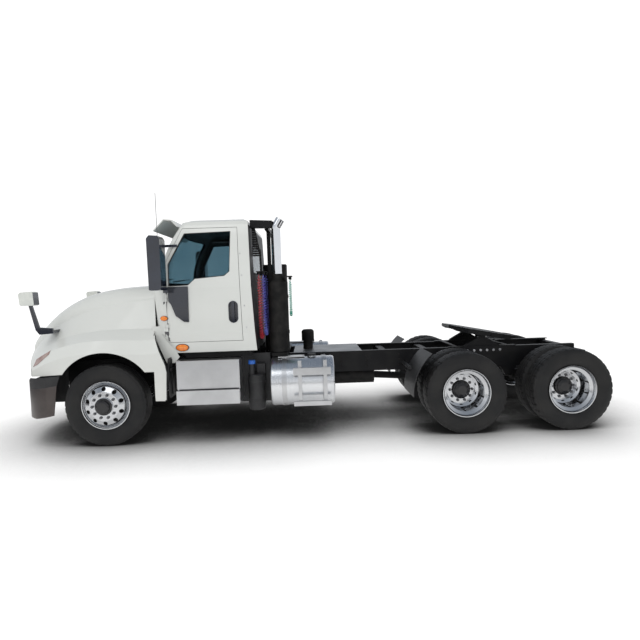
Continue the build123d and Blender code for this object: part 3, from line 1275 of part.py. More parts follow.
MUFFLER_R = 128.0
MUFFLER_LOW = 1050.0
BASE_T = 25.0           # plate over both rails behind the cab
BASE_X = (ahead(-2240.0), ahead(-1910.0))
POST_Y, POST_W = 400.0, 50.0
POST_X = (ahead(-2040.0), ahead(-1990.0))
CANISTER_X = (ahead(-2235.0), ahead(-1915.0))
CANISTER_Y = (0.0, POST_Y - POST_W / 2)
CANISTER_TOP = 2205.0

with BuildPart() as muffler:
    with BuildSketch(Plane((STACK_X, STACK_Y, 0), x_dir=(1, 0, 0), z_dir=(0, -1, 0))):
        with BuildLine():
            Polyline(
                (0, MUFFLER_LOW), (MUFFLER_R - 12, MUFFLER_LOW), (MUFFLER_R, MUFFLER_LOW + 14),
                (MUFFLER_R, STACK_FOOT - 85), (STACK_R + 14, STACK_FOOT - 30),
                (STACK_R + 14, STACK_FOOT + 22),
                (STACK_R + SEAT_GAP, STACK_FOOT + 22), (STACK_R + SEAT_GAP, STACK_FOOT),
                (0, STACK_FOOT), close=True)
        make_face()
    revolve(axis=Axis((STACK_X, STACK_Y, 0), (0, 0, 1)))
    # bands round the muffler, tied to the canister beside it
    for band_z in (MUFFLER_LOW + 260, MUFFLER_LOW + 720):
        with Locations((STACK_X, STACK_Y, band_z)):
            Cylinder(MUFFLER_R + 6, 40)
        add(box_at(STACK_X - 22, STACK_X + 22, CANISTER_Y[1] - 20, STACK_Y - MUFFLER_R + 10,
                   band_z - 20, band_z + 20))
    # exhaust treatment canister between the posts
    with BuildSketch(Plane.XY.offset(RAIL_TOP + BASE_T)):
        with Locations(((CANISTER_X[0] + CANISTER_X[1]) / 2, (CANISTER_Y[0] + CANISTER_Y[1]) / 2)):
            RectangleRounded(CANISTER_X[1] - CANISTER_X[0], CANISTER_Y[1] - CANISTER_Y[0], 70)
    extrude(amount=CANISTER_TOP - RAIL_TOP - BASE_T)
    # bracket behind the muffler, with the two sockets of the power line
    add(box_at(ahead(-2328), STACK_X - 60, 610, 905, 2020, 2030))
    for y in (630.0, 886.0):
        with Locations((ahead(-2300), y, 2003)):
            Cylinder(16, 36)
    # outrigger under the muffler
    add(box_at(STACK_X - 100, STACK_X + 100, RAIL_OUT - 60, STACK_Y + 120, RAIL_TOP + BASE_T, MUFFLER_LOW))
save(muffler.part, "muffler")

BAR_LOW, BAR_HIGH = 2640.0, 2690.0
SHELF_Z = 2090.0        # underside of the shelf that the air lines hang from
SHELF_X = (ahead(-1998.0), ahead(-1882.0))
FITTING_R = 24.0
LINE_EXIT_Z = 2055.0    # where the lines leave their fittings
# name: (x, coil's outer radius, [(y, z) from one fitting down and back up to the other])
AIR_LINES = {
    "air_line_red": (ahead(-1912.0), 24.0, [
        (540, LINE_EXIT_Z), (540, 1830), (547, 1600), (540, 1362), (642, 1252), (798, 1246),
        (904, 1350), (897, 1590),
        (903, 1825), (903, LINE_EXIT_Z)]),
    "air_line_blue": (ahead(-1970.0), 24.0, [
        (548, LINE_EXIT_Z), (548, 1850), (540, 1630), (546, 1402), (648, 1296), (802, 1290),
        (905, 1396), (899, 1620),
        (906, 1845), (906, LINE_EXIT_Z)]),
    "power_line": (ahead(-2300.0), 17.5, [
        (630, 1985), (630, 1860), (636, 1730), (630, 1604), (703, 1528), (809, 1524), (885, 1598),
        (881, 1725),
        (886, 1858), (886, 1985)]),
}


def line_radii(points):
    """Corner radii as large as the runs beside each corner allow."""
    radii = []
    for before, corner, after in zip(points, points[1:], points[2:]):
        arriving, leaving = corner - before, after - corner
        half_turn = radians(arriving.get_angle(leaving)) / 2
        radii.append(0.45 * min(arriving.length, leaving.length) / tan(half_turn))
    return radii


with BuildPart() as stack_bracket:
    add(box_at(BASE_X[0], BASE_X[1], -RAIL_OUT, RAIL_OUT, RAIL_TOP, RAIL_TOP + BASE_T))
    for _, side in SIDES:
        add(box_at(POST_X[0], POST_X[1],
                   *sorted((side * (POST_Y - POST_W / 2), side * (POST_Y + POST_W / 2))),
                   RAIL_TOP + BASE_T, BAR_HIGH))
    add(box_at(POST_X[0], POST_X[1], -POST_Y, STACK_Y - STACK_R - 2, BAR_LOW, BAR_HIGH))
    # arm along the roof's edge, hollowed round the stack
    arm = [
        (ahead(-1812), 2660), (ahead(-1812), 2758), (ahead(-2108), 2742), (ahead(-2126), 2706),
        (ahead(-2080), 2655)]
    add(side_prism(arm, STACK_Y - 70, STACK_Y + 40))
    # perforated guard between the arm and the shelf
    guard = [(ahead(-1822), 2300), (ahead(-1822), 2662), (ahead(-1868), 2662), (ahead(-1936), 2300)]
    add(side_prism(guard, STACK_Y - 60, STACK_Y - 56))
    with BuildSketch(side_plane(STACK_Y)):
        for row in range(11):
            with Locations(*[(ahead(-1834 - 18 * column),
                              2322 + 30 * row) for column in range(5 - row // 3)]):
                Circle(5)
    extrude(amount=100, mode=Mode.SUBTRACT)
    with Locations((STACK_X, STACK_Y, BAR_HIGH)):
        Cylinder(STACK_R + SEAT_GAP, 400, mode=Mode.SUBTRACT)
    # shelf with a fitting at each end of the two air lines
    add(box_at(SHELF_X[0], SHELF_X[1], POST_Y, 935, SHELF_Z, SHELF_Z + 10))
    for name in ("air_line_red", "air_line_blue"):
        line_x, _, points = AIR_LINES[name]
        for y in (points[0][0], points[-1][0]):
            with Locations((line_x, y, (SHELF_Z + LINE_EXIT_Z) / 2)):
                Cylinder(FITTING_R, SHELF_Z - LINE_EXIT_Z)
save(stack_bracket.part, "stack_bracket")

for name, (line_x, coil_r, route) in AIR_LINES.items():
    points = [Vector(line_x, y, z) for y, z in route]
    radii = line_radii(points)
    with BuildPart() as air_line:
        with BuildLine() as path:
            FilletPolyline(*points, radius=radii)
        with BuildSketch(Plane(points[0], z_dir=points[1] - points[0])):
            Circle(coil_r)
        sweep(path=path.line)
    route_length = sum(edge.length for edge in path.edges())
    swept = air_line.part.volume / (pi * coil_r ** 2 * route_length)
    print(name, "radii", [round(r) for r in radii], "length", round(route_length), "swept volume",
          round(swept, 4))
    save(air_line.part, name)

with BuildPart() as deck_plate:
    add(box_at(ahead(-3237), ahead(-2300), -RAIL_OUT, RAIL_OUT, RAIL_TOP, RAIL_TOP + 6))
save(deck_plate.part, "deck_plate")

with BuildPart() as air_dryer:
    with Locations((ahead(-2500), 0, RAIL_TOP + 6 + 60)):
        Cylinder(70, 120)
    with Locations((ahead(-2500), 0, RAIL_TOP + 6 + 200)):
        Cylinder(90, 160)
    fillet(air_dryer.edges().group_by(Axis.Z)[-1], 40)

with BuildPart() as air_tanks:
    for x in (ahead(-3100),):
        for _, side in SIDES:
            with Locations(Location((x, side * 250, RAIL_BOTTOM - 80), (0, 90, 0))):
                Cylinder(115, 620)
            add(box_at(x - 200, x - 160, side * 250 - 20, side * 250 + 20, RAIL_BOTTOM - 40,
                       RAIL_BOTTOM + 200))
            add(box_at(x - 200, x - 160, *sorted((side * 230, side * (RAIL_OUT - RAIL_WALL))),
                       RAIL_BOTTOM + 160, RAIL_BOTTOM + 200))
with BuildPart() as air_system:
    add(air_dryer.part)
    add(air_tanks.part)
save(air_system.part, "air_system")


def quarter_fender(side):
    """Curved guard ahead of the first drive tyres, on an arm from the rail."""
    pair = sorted((side * 600, side * 1215))
    with BuildPart() as part:
        with BuildSketch(side_plane(pair[1])):
            with BuildLine():
                CenterArc((MID_X, AXLE_Z), 668, -2, 52)
                CenterArc((MID_X, AXLE_Z), 660, -2, 52)
                Line((MID_X + 668 * cos(radians(-2)), AXLE_Z + 668 * sin(radians(-2))),
                     (MID_X + 660 * cos(radians(-2)), AXLE_Z + 660 * sin(radians(-2))))
                Line((MID_X + 668 * cos(radians(50)), AXLE_Z + 668 * sin(radians(50))),
                     (MID_X + 660 * cos(radians(50)), AXLE_Z + 660 * sin(radians(50))))
            make_face()
        extrude(amount=pair[1] - pair[0])
        arm = sorted((side * RAIL_OUT, side * 900))
        with Locations(Location((MID_X + 640, (arm[0] + arm[1]) / 2, 800), (90, 0, 0))):
            Cylinder(24, arm[1] - arm[0])
        add(box_at(MID_X + 560, MID_X + 660, *sorted((side * 700, side * 740)), 780, 820))
    return part.part


SPLASH_X = ahead(-784.0)        # behind the sweep of the hood's rear corners
SPLASH_T = 10.0


def splash_panel(side):
    """Upright guard behind the front wheel, on a stay from the rail."""
    outline = [
        (side * 640, 1060), (side * 1150, 1060), (side * 1165, 940), (side * 1165, 620), (side * 1120, 565),
        (side * 700, 565), (side * 640, 640)]
    with BuildPart() as part:
        with BuildSketch(Plane.YZ.offset(SPLASH_X - SPLASH_T)):
            with BuildLine():
                Polyline(*outline, close=True)
            make_face()
        extrude(amount=SPLASH_T)
        add(box_at(SPLASH_X - SPLASH_T - 24, SPLASH_X - SPLASH_T,
                   *sorted((side * RAIL_OUT, side * 1100)), 900, 930))
        for rib_y in (740.0, 880.0, 1020.0):
            add(box_at(SPLASH_X - SPLASH_T - 10, SPLASH_X - SPLASH_T,
                       *sorted((side * rib_y, side * (rib_y + 16))), 600, 1040))
    return part.part


with BuildPart() as quarter_fenders:
    for _, side in SIDES:
        add(quarter_fender(side))
        add(splash_panel(side))
save(quarter_fenders.part, "quarter_fenders")

# ---------------------------------------------------------------- fifth wheel
FIFTH_X = (MID_X + REAR_X) / 2 + 200.0
PIVOT_Z = 1110.0
PLATE_TILT = 11.0
BOSS_R = 54.0
PIN_R = 30.0
MOUNT_LEG = 95.0        # mounting angles on the rails
MOUNT_T = 10.0
MOUNT_HALF = 460.0
PEDESTAL_Y = 392.0
PEDESTAL_T = 22.0

with BuildPart() as fifth_wheel_base:
    for _, side in SIDES:
        # angle bolted to the rail's web, with its upper leg over the flange
        add(box_at(FIFTH_X - MOUNT_HALF, FIFTH_X + MOUNT_HALF,
                   *sorted((side * RAIL_OUT, side * (RAIL_OUT + MOUNT_T))),
                   RAIL_TOP - MOUNT_LEG, RAIL_TOP + MOUNT_T))
        add(box_at(FIFTH_X - MOUNT_HALF, FIFTH_X + MOUNT_HALF,
                   *sorted((side * (RAIL_OUT - RAIL_FLANGE), side * RAIL_OUT)),
                   RAIL_TOP, RAIL_TOP + MOUNT_T))
        # pedestal of two webs and a gusset, with the pivot's boss on top
        pedestal = [
            (FIFTH_X - 250, RAIL_TOP), (FIFTH_X + 250, RAIL_TOP), (FIFTH_X + 215, RAIL_TOP + 34),
            (FIFTH_X + BOSS_R, PIVOT_Z), (FIFTH_X - BOSS_R, PIVOT_Z), (FIFTH_X - 215, RAIL_TOP + 34)]
        for web_y in (-PEDESTAL_T, PEDESTAL_T):
            add(side_prism(pedestal, side * PEDESTAL_Y + web_y - 6, side * PEDESTAL_Y + web_y + 6))
        for gusset_x in (-150.0, 150.0):
            add(box_at(FIFTH_X + gusset_x - 6, FIFTH_X + gusset_x + 6, side * PEDESTAL_Y - PEDESTAL_T,
                       side * PEDESTAL_Y + PEDESTAL_T, RAIL_TOP, RAIL_TOP + 48))
        with Locations(Location((FIFTH_X, side * PEDESTAL_Y, PIVOT_Z), (90, 0, 0))):
            Cylinder(BOSS_R, 60)
            Cylinder(PIN_R + RUN_GAP, 60, mode=Mode.SUBTRACT)
    # tie plate between the two angles
    for tie_x in (FIFTH_X - 380, FIFTH_X + 330):
        add(box_at(tie_x, tie_x + 50, -RAIL_OUT, RAIL_OUT, RAIL_TOP, RAIL_TOP + MOUNT_T))
save(fifth_wheel_base.part, "fifth_wheel_base")

PLATE_T = 14.0
PLATE_UNDER = PIVOT_Z + 78.0    # underside of the top plate
SKIRT_H = 52.0
SKIRT_T = 12.0
RIB_T = 12.0
THROAT_R = 42.0         # the jaws' mouth round a 2 inch kingpin
KINGPIN_BORE_R = 26.5
THROAT_BACK = 160.0     # the mouth's end behind the pivot


def plate_outline(inset):
    """Plan of the coupling plate, with its tapering throat open to the rear."""
    with BuildSketch(Plane.XY.offset(PLATE_UNDER)) as plan:
        with BuildLine():
            Polyline(
                (FIFTH_X + 420 - inset, -190), (FIFTH_X + 420 - inset, 190), (FIFTH_X + 215, 455 - inset),
                (FIFTH_X - 250, 455 - inset), (FIFTH_X - 520 + inset, 310),
                (FIFTH_X - 520 + inset, 150 + inset),
                (FIFTH_X - THROAT_BACK, THROAT_R + inset), (FIFTH_X, THROAT_R + inset),
                (FIFTH_X, -THROAT_R - inset),
                (FIFTH_X - THROAT_BACK, -THROAT_R - inset), (FIFTH_X - 520 + inset, -150 - inset),
                (FIFTH_X - 520 + inset, -310), (FIFTH_X - 250, inset - 455),
                (FIFTH_X + 215, inset - 455), close=True)
        make_face()
    return plan.sketch


with BuildPart() as fifth_wheel_plate:
    with BuildSketch(Plane.XY.offset(PLATE_UNDER)):
        add(plate_outline(0))
    extrude(amount=PLATE_T)
    # skirt turned down round the plate's edge
    with BuildSketch(Plane.XY.offset(PLATE_UNDER - SKIRT_H)):
        add(plate_outline(0))
        add(plate_outline(SKIRT_T), mode=Mode.SUBTRACT)
    extrude(amount=SKIRT_H)
    # the skirt is cut up towards the front lip and the ends of the ramps
    for front in (
            [(FIFTH_X + 421, PLATE_UNDER - 60), (FIFTH_X + 421, PLATE_UNDER - 22),
             (FIFTH_X + 300, PLATE_UNDER - 60)],
            [(FIFTH_X - 521, PLATE_UNDER - 60), (FIFTH_X - 521, PLATE_UNDER - 14),
             (FIFTH_X - 330, PLATE_UNDER - 60)]):
        add(side_prism(front, -500, 500), mode=Mode.SUBTRACT)
    # ribs: crosswise and lengthwise under the plate
    for rib_x, half in ((250.0, 380.0), (110.0, 440.0), (-80.0, 440.0)):
        for _, side in SIDES:
            add(box_at(FIFTH_X + rib_x, FIFTH_X + rib_x + RIB_T, *sorted((side * 60, side * half)),
                       PLATE_UNDER - 38, PLATE_UNDER + 1))
    for rib_y in (-230.0, -90.0, 90.0, 230.0):
        add(box_at(FIFTH_X - 200, FIFTH_X + 390, rib_y - RIB_T / 2, rib_y + RIB_T / 2, PLATE_UNDER - 38,
                   PLATE_UNDER + 1))
    # jaw housing under the plate, bored for the kingpin
    add(box_at(FIFTH_X - THROAT_BACK + 20, FIFTH_X + 130, -125, 125, PLATE_UNDER - 50, PLATE_UNDER + 1))
    with BuildSketch(Plane.XY.offset(PLATE_UNDER - 60)):
        with Locations((FIFTH_X, 0)):
            Circle(KINGPIN_BORE_R)
        with BuildLine():
            Polyline((FIFTH_X, -KINGPIN_BORE_R), (FIFTH_X, KINGPIN_BORE_R),
                     (FIFTH_X - THROAT_BACK, KINGPIN_BORE_R + 12),
                     (FIFTH_X - THROAT_BACK - 60, KINGPIN_BORE_R + 40),
                     (FIFTH_X - THROAT_BACK - 60, -KINGPIN_BORE_R - 40),
                     (FIFTH_X - THROAT_BACK, -KINGPIN_BORE_R - 12), close=True)
        make_face()
    extrude(amount=90, mode=Mode.SUBTRACT)
    # release handle, a bent rod out of the left side
    with Locations(Location((FIFTH_X - 115, 300, PLATE_UNDER - 24), (90, 0, 0))):
        Cylinder(9, 370)
    # trunnion ears and pivot pins
    for _, side in SIDES:
        ear = [
            (FIFTH_X - 90, PLATE_UNDER + 1), (FIFTH_X + 90, PLATE_UNDER + 1), (FIFTH_X + 44, PIVOT_Z - 40),
            (FIFTH_X - 44, PIVOT_Z - 40)]
        add(side_prism(ear, *sorted((side * (PEDESTAL_Y - 96), side * (PEDESTAL_Y - 40)))))
        with Locations(Location((FIFTH_X, side * (PEDESTAL_Y - 8), PIVOT_Z), (90, 0, 0))):
            Cylinder(PIN_R, 84)
fifth_tilted = fifth_wheel_plate.part.rotate(Axis((FIFTH_X, 0, PIVOT_Z), (0, 1, 0)), -PLATE_TILT)
save(fifth_tilted, "fifth_wheel_plate")

# ---------------------------------------------------------------- headlamps, radiator and hood hinge
with BuildPart() as radiator:
    add(box_at(ahead(880), ahead(950), -340, 340, RAIL_BOTTOM + 10, 1380))
    add(box_at(ahead(880), ahead(950), -420, 420, RAIL_TOP, 1380))
save(radiator.part, "radiator")
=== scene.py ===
# %% [markdown]
# # A three-axle tractor unit, dressed for the camera
#
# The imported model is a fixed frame: every body, joint and solid already stands in its real place, in
# metres, with +X forward, +Y to the driver's side and +Z up. This lesson lays the looks over it. Each
# step says why it is done in that way, so that the next vehicle can be dressed by the same steps.

# %% Load the frame
import bpy
import bmesh
from math import cos, pi, radians, sin
from mathutils import Matrix, Vector
from mathutils.bvhtree import BVHTree


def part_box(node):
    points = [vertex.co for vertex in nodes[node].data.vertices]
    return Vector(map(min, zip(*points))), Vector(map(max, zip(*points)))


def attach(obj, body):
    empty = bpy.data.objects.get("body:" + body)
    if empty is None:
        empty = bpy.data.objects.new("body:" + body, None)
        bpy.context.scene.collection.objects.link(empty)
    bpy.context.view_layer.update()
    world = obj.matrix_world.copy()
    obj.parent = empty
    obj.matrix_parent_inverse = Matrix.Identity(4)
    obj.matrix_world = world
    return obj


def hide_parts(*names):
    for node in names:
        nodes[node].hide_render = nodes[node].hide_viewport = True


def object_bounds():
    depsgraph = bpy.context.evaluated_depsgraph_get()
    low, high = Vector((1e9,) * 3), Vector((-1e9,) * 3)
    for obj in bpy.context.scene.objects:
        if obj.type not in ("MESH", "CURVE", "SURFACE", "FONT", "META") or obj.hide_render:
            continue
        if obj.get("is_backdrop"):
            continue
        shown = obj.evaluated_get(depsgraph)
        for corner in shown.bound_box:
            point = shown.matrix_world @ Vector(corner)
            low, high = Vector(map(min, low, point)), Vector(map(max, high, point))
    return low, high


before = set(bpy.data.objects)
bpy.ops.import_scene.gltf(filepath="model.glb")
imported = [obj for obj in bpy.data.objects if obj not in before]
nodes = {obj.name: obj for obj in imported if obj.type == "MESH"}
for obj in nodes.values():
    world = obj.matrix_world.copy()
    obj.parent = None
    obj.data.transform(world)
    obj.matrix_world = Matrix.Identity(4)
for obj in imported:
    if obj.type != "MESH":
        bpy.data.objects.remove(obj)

cad_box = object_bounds()

# %% [markdown]
# ## Driving sizes
#
# Places could be typed in from a drawing, but then a change of the solids would leave the looks behind. So
# they come from the frame wherever it can give them: a wheel's middle is the middle of its node's box.
# Only what the frame can't say, such as a tread's depth, is written down, where it is first needed.

# %% Read the places from the frame
def middle(node):
    """Middle of a CAD node's box."""
    low, high = (Vector(corner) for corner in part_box(node))
    return (low + high) / 2


TYRE_R = (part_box("tyre_front_left")[1][2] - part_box("tyre_front_left")[0][2]) / 2
TYRE_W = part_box("tyre_front_left")[1][1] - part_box("tyre_front_left")[0][1]
FRONT_X = middle("tyre_front_left").x
SIDES = (("left", 1.0), ("right", -1.0))
CAB_SHELL = ("cab_front", "cab_back", "cab_roof", "cab_sides", "door_left", "door_right")
CAB_GLASS = ("cab_glass", "door_glass_left", "door_glass_right")
print("tyre radius", round(TYRE_R, 3), "front axle at x", round(FRONT_X, 3))

# %% [markdown]
# ## Materials
#
# A surface could wear a painted image, but that needs an unwrapped mesh and turns soft from near by. So
# each gets a small node tree. A constant, such as a roughness or a coat weight, goes straight on the
# shader's own socket, and only what varies over the surface, such as dust or brushing, is wired in. A
# tree takes many lines to write out, so one helper adds a node, sets it and wires it in a single call.

# %% One call adds a node
def put(tree, kind, inlets, **settings):
    """Adds a node. Each inlet takes a constant, or an outlet that is wired to it."""
    added = tree.nodes.new(f"ShaderNode{kind}")
    for setting, value in settings.items():
        setattr(added, setting, value)
    for inlet, value in inlets.items():
        if isinstance(value, bpy.types.NodeSocket):
            tree.links.new(value, added.inputs[inlet])
        else:
            added.inputs[inlet].default_value = value
    return added


def new_material(name, color, metallic=0.0, roughness=0.5, coat=0.0, specular=0.5):
    """A principled material with its constants: (material, node tree, shader)."""
    mat = bpy.data.materials.new(name)
    mat.use_nodes = True
    shader = mat.node_tree.nodes["Principled BSDF"]
    constants = {"Base Color": (*color, 1.0), "Metallic": metallic, "Roughness": roughness,
                 "Coat Weight": coat, "Coat Roughness": 0.05, "Specular IOR Level": specular}
    for inlet, value in constants.items():
        shader.inputs[inlet].default_value = value
    return mat, mat.node_tree, shader


print("node helper ready")

# %% [markdown]
# ## Patterns over a surface
#
# No real surface has one flat tone: paint chalks, iron rusts and rubber greys. A mottle blends two close
# colours by soft noise, and a bump lends the surface a grain. Both read object coordinates, so they need no
# unwrapping, keep one scale over the whole truck, and ride with their piece when it moves.

# %% Patterns over a surface
MOTTLE_FROM, MOTTLE_TO, MOTTLE_DETAIL = 0.4, 0.65, 5.0


def object_coords(tree, scale=(1, 1, 1)):
    """Object coordinates, scaled."""
    coords = put(tree, "TexCoord", {}).outputs["Object"]
    return put(tree, "Mapping", {"Vector": coords, "Scale": scale}).outputs["Vector"]


def add_bump(tree, shader, height, strength, distance):
    """Wires a height into the shader's normal."""
    bump = put(tree, "Bump", {"Height": height, "Strength": strength, "Distance": distance})
    tree.links.new(bump.outputs["Normal"], shader.inputs["Normal"])


def blend(tree, share, first, second):
    """Blends two colours, each a triple or an outlet, by a share."""
    first, second = ((*color, 1.0) if isinstance(color, tuple) else color for color in (first, second))
    mix = put(tree, "Mix", {"Factor": share, "A": first, "B": second}, data_type="RGBA")
    return mix.outputs["Result"]


def add_mottle(tree, shader, color, other, scale):
    """Blends two colours by soft noise, and returns the blend."""
    noise = put(tree, "TexNoise", {"Vector": object_coords(tree), "Scale": scale, "Detail": MOTTLE_DETAIL})
    share = put(tree, "MapRange", {
        "Value": noise.outputs["Fac"], "From Min": MOTTLE_FROM, "From Max": MOTTLE_TO})
    mottle = blend(tree, share.outputs["Result"], color, other)
    tree.links.new(mottle, shader.inputs["Base Color"])
    return mottle


print("pattern helpers ready")

# %% [markdown]
# ## Two makers of finishes
#
# Paint, plastic, rubber and iron differ by their numbers alone, so one maker serves them all. Polished and
# brushed metal needs another: its reflections are drawn out along the brushing, which could be done with
# anisotropy, but noise stretched along one axis also shows the lines themselves.

# %% Plain and brushed finishes
GRAIN_STRENGTH, BRUSH_STRENGTH, BRUSH_DEPTH = 0.35, 0.12, 0.0004
BRUSH_SCALE, BRUSH_DETAIL, BRUSH_MOTTLE = 60.0, 4.0, 3.0
SMOOTHEST, ROUGHEST = 0.7, 1.5


def plain(name, color, other, scale, grain, grain_depth, **looks):
    """A surface with two close colours and a fine grain."""
    mat, tree, shader = new_material(name, color, **looks)
    add_mottle(tree, shader, color, other, scale)
    fine = put(tree, "TexNoise", {"Vector": object_coords(tree), "Scale": grain})
    add_bump(tree, shader, fine.outputs["Fac"], GRAIN_STRENGTH, grain_depth)
    return mat


def brushed(name, color, other, stretch, roughness):
    """Polished or brushed metal with fine lines along one axis."""
    mat, tree, shader = new_material(name, color, metallic=1.0, roughness=roughness)
    add_mottle(tree, shader, color, other, BRUSH_MOTTLE)
    lines = put(tree, "TexNoise", {
        "Vector": object_coords(tree, stretch), "Scale": BRUSH_SCALE,
        "Detail": BRUSH_DETAIL}).outputs["Fac"]
    rough = put(tree, "MapRange", {
        "Value": lines, "To Min": roughness * SMOOTHEST, "To Max": roughness * ROUGHEST})
    tree.links.new(rough.outputs["Result"], shader.inputs["Roughness"])
    add_bump(tree, shader, lines, BRUSH_STRENGTH, BRUSH_DEPTH)
    return mat


print("finish helpers ready")

# %% [markdown]
# ## The paint
#
# The cab and hood are sprayed white and clear coated. One flat white would look like plastic, so two whites
# are blended by slow noise, and a darker, warmer tone comes in with falling height.

# %% Mix the body paint
# the third colour is a darker, warmer white, blended in more and more towards the bottom of the body
PAINT_WHITE, PAINT_SHADE, BOTTOM_TONE = (0.62, 0.635, 0.61), (0.595, 0.61, 0.585), (0.60, 0.59, 0.56)
BOTTOM_FROM_Z, BOTTOM_FULL_Z, BOTTOM_MOST = 1.15, 0.5, 0.55


def body_paint():
    """White paint under clear coat, turned a little darker and warmer towards the bottom of the body."""
    mat, tree, shader = new_material("body_paint", PAINT_WHITE, roughness=0.36, coat=0.5)
    mottle = add_mottle(tree, shader, PAINT_WHITE, PAINT_SHADE, 1.5)
    height = put(tree, "SeparateXYZ", {"Vector": object_coords(tree)}).outputs["Z"]
    to_bottom = put(tree, "MapRange", {
        "Value": height, "From Min": BOTTOM_FROM_Z, "From Max": BOTTOM_FULL_Z, "To Max": BOTTOM_MOST})
    bottom_toned = blend(tree, to_bottom.outputs["Result"], mottle, BOTTOM_TONE)
    tree.links.new(bottom_toned, shader.inputs["Base Color"])
    return mat


paint = body_paint()
print("paint", paint.name)

# %% [markdown]
# ## Blacks, metals and colours
#
# A truck wears many blacks: the chassis, iron, mouldings and rubber differ in grain and gloss far more than
# in colour. One black would run them together, so each gets its own call. The chassis and iron reflect
# little, because road film shows hardly any sky. The metals differ in tone and in the way they are brushed.

# %% Mix the plain finishes
chassis_black = plain("chassis_black", (0.005, 0.005, 0.006), (0.010, 0.010, 0.010), 5.0, 300.0, 0.0003,
                      roughness=0.42, specular=0.22)
cast = plain("cast_iron", (0.007, 0.007, 0.007), (0.017, 0.016, 0.015), 9.0, 220.0, 0.001, roughness=0.6,
             specular=0.2)
trim = plain("moulded_trim", (0.015, 0.015, 0.016), (0.024, 0.024, 0.025), 8.0, 700.0, 0.0004,
             roughness=0.5)
# the faint blue in both colours of this gloss black is a painted reflection of the sky
gloss_black_painted_reflection = plain("gloss_black_painted_reflection", (0.010, 0.012, 0.020), (0.014, 0.018, 0.030), 4.0, 300.0, 0.0,
                    roughness=0.10, coat=0.8)
rubber = plain("rubber", (0.018, 0.018, 0.018), (0.03, 0.03, 0.03), 8.0, 500.0, 0.0004, roughness=0.7)
alloy = brushed("rolled_alloy", (0.80, 0.81, 0.82), (0.72, 0.73, 0.75), (16.0, 1.0, 1.0), 0.24)
alloy_panel = brushed("panel_alloy", (0.66, 0.665, 0.67), (0.56, 0.565, 0.57), (16.0, 1.0, 1.0), 0.3)
chrome = brushed("bright_chrome", (0.86, 0.87, 0.88), (0.80, 0.81, 0.83), (1.0, 1.0, 8.0), 0.09)
steel = brushed("dull_steel", (0.30, 0.30, 0.31), (0.20, 0.20, 0.205), (1.0, 1.0, 6.0), 0.42)
dark_chrome = brushed("weathered_chrome", (0.135, 0.118, 0.112), (0.10, 0.088, 0.084), (1.0, 1.0, 10.0),
                      0.34)
bolt_metal = brushed("bolt_metal", (0.62, 0.62, 0.63), (0.45, 0.45, 0.46), (1.0, 1.0, 1.0), 0.35)
amber = plain("amber_lens", (0.72, 0.16, 0.01), (0.85, 0.26, 0.02), 40.0, 160.0, 0.0006, roughness=0.16,
              coat=0.8)
red_lens = plain("red_lens", (0.40, 0.008, 0.006), (0.55, 0.012, 0.01), 40.0, 160.0, 0.0006, roughness=0.16,
                 coat=0.8)
blue_cap = plain("blue_cap", (0.02, 0.10, 0.42), (0.03, 0.14, 0.50), 20.0, 300.0, 0.0004, roughness=0.45)
mirror_back = plain("pale_housing", (0.62, 0.64, 0.60), (0.55, 0.57, 0.54), 10.0, 500.0, 0.0003,
                    roughness=0.4)
interior = plain("cab_plastic", (0.10, 0.10, 0.105), (0.12, 0.12, 0.125), 6.0, 600.0, 0.0004, roughness=0.6)
seat_cloth = plain("seat_cloth", (0.05, 0.05, 0.055), (0.08, 0.08, 0.085), 60.0, 900.0, 0.001,
                   roughness=0.85)
print("materials", len(bpy.data.materials))

# %% [markdown]
# ## Glass and lamp covers
#
# The windows are thin tinted sheets. Glass of full refractive index would bend the view as a solid block
# does, so an index near that of air keeps it straight, as it is through a thin pane. The lamp covers hide
# fluted reflectors, which are never seen clearly, and a wave in the surface stands for the flutes.

# %% Tint the glass and flute the covers
PANE_IOR = 1.1


def tinted_glass():
    """Thin dark window glass."""
    mat, tree, shader = new_material("window_glass", (0.25, 0.29, 0.30), roughness=0.02)
    shader.inputs["Transmission Weight"].default_value = 1.0
    shader.inputs["IOR"].default_value = PANE_IOR
    add_mottle(tree, shader, (0.26, 0.38, 0.43), (0.32, 0.43, 0.47), 2.0)
    return mat


def lamp_cover():
    """Clear lamp cover over fluting, with a warm tint in patches."""
    mat, tree, shader = new_material("lamp_cover", (0.6, 0.55, 0.5), roughness=0.12, coat=1.0)
    add_mottle(tree, shader, (0.34, 0.25, 0.22), (0.17, 0.055, 0.035), 9.0)
    flutes = put(tree, "TexWave", {"Vector": object_coords(tree, (0.0, 1.0, 0.3)), "Scale": 30.0})
    add_bump(tree, shader, flutes.outputs["Fac"], 0.5, 0.003)
    return mat


glass, lamp_lens = tinted_glass(), lamp_cover()
print("glass", glass.name, "cover", lamp_lens.name)

# %% [markdown]
# ## Tread plate
#
# The deck behind the cab is rolled plate with raised lozenges. They are a millimetre or two high and could
# be modelled one by one, but relief in the surface is enough at that size: two crossed waves, multiplied,
# leave a bump only where both are high.

# %% Roll the tread plate
def deck_material():
    """Aluminium tread plate with raised diagonal lozenges."""
    mat, tree, shader = new_material("tread_plate", (0.34, 0.35, 0.36), metallic=1.0, roughness=0.38)
    add_mottle(tree, shader, (0.36, 0.37, 0.38), (0.24, 0.25, 0.26), 4.0)
    one_way, other_way = (
        put(tree, "TexWave", {"Vector": object_coords(tree, (3.0, 3.0 * slant, 0.0)), "Scale": 5.0},
            bands_direction="DIAGONAL").outputs["Fac"] for slant in (1.0, -1.0))
    lozenges = put(tree, "Math", {0: one_way, 1: other_way}, operation="MULTIPLY")
    add_bump(tree, shader, lozenges.outputs["Value"], 0.6, 0.004)
    return mat


tread_plate = deck_material()
print("deck", tread_plate.name)

# %% [markdown]
# ## Polished wheels
#
# An alloy wheel is turned on a lathe and polished, and its hub is painted black. Two materials would need
# the faces sorted, so one material asks how far a point is from the axle. That needs the wheel's middle,
# so each wheel gets its own copy. The same distance, run through a sine, gives fine turning marks.

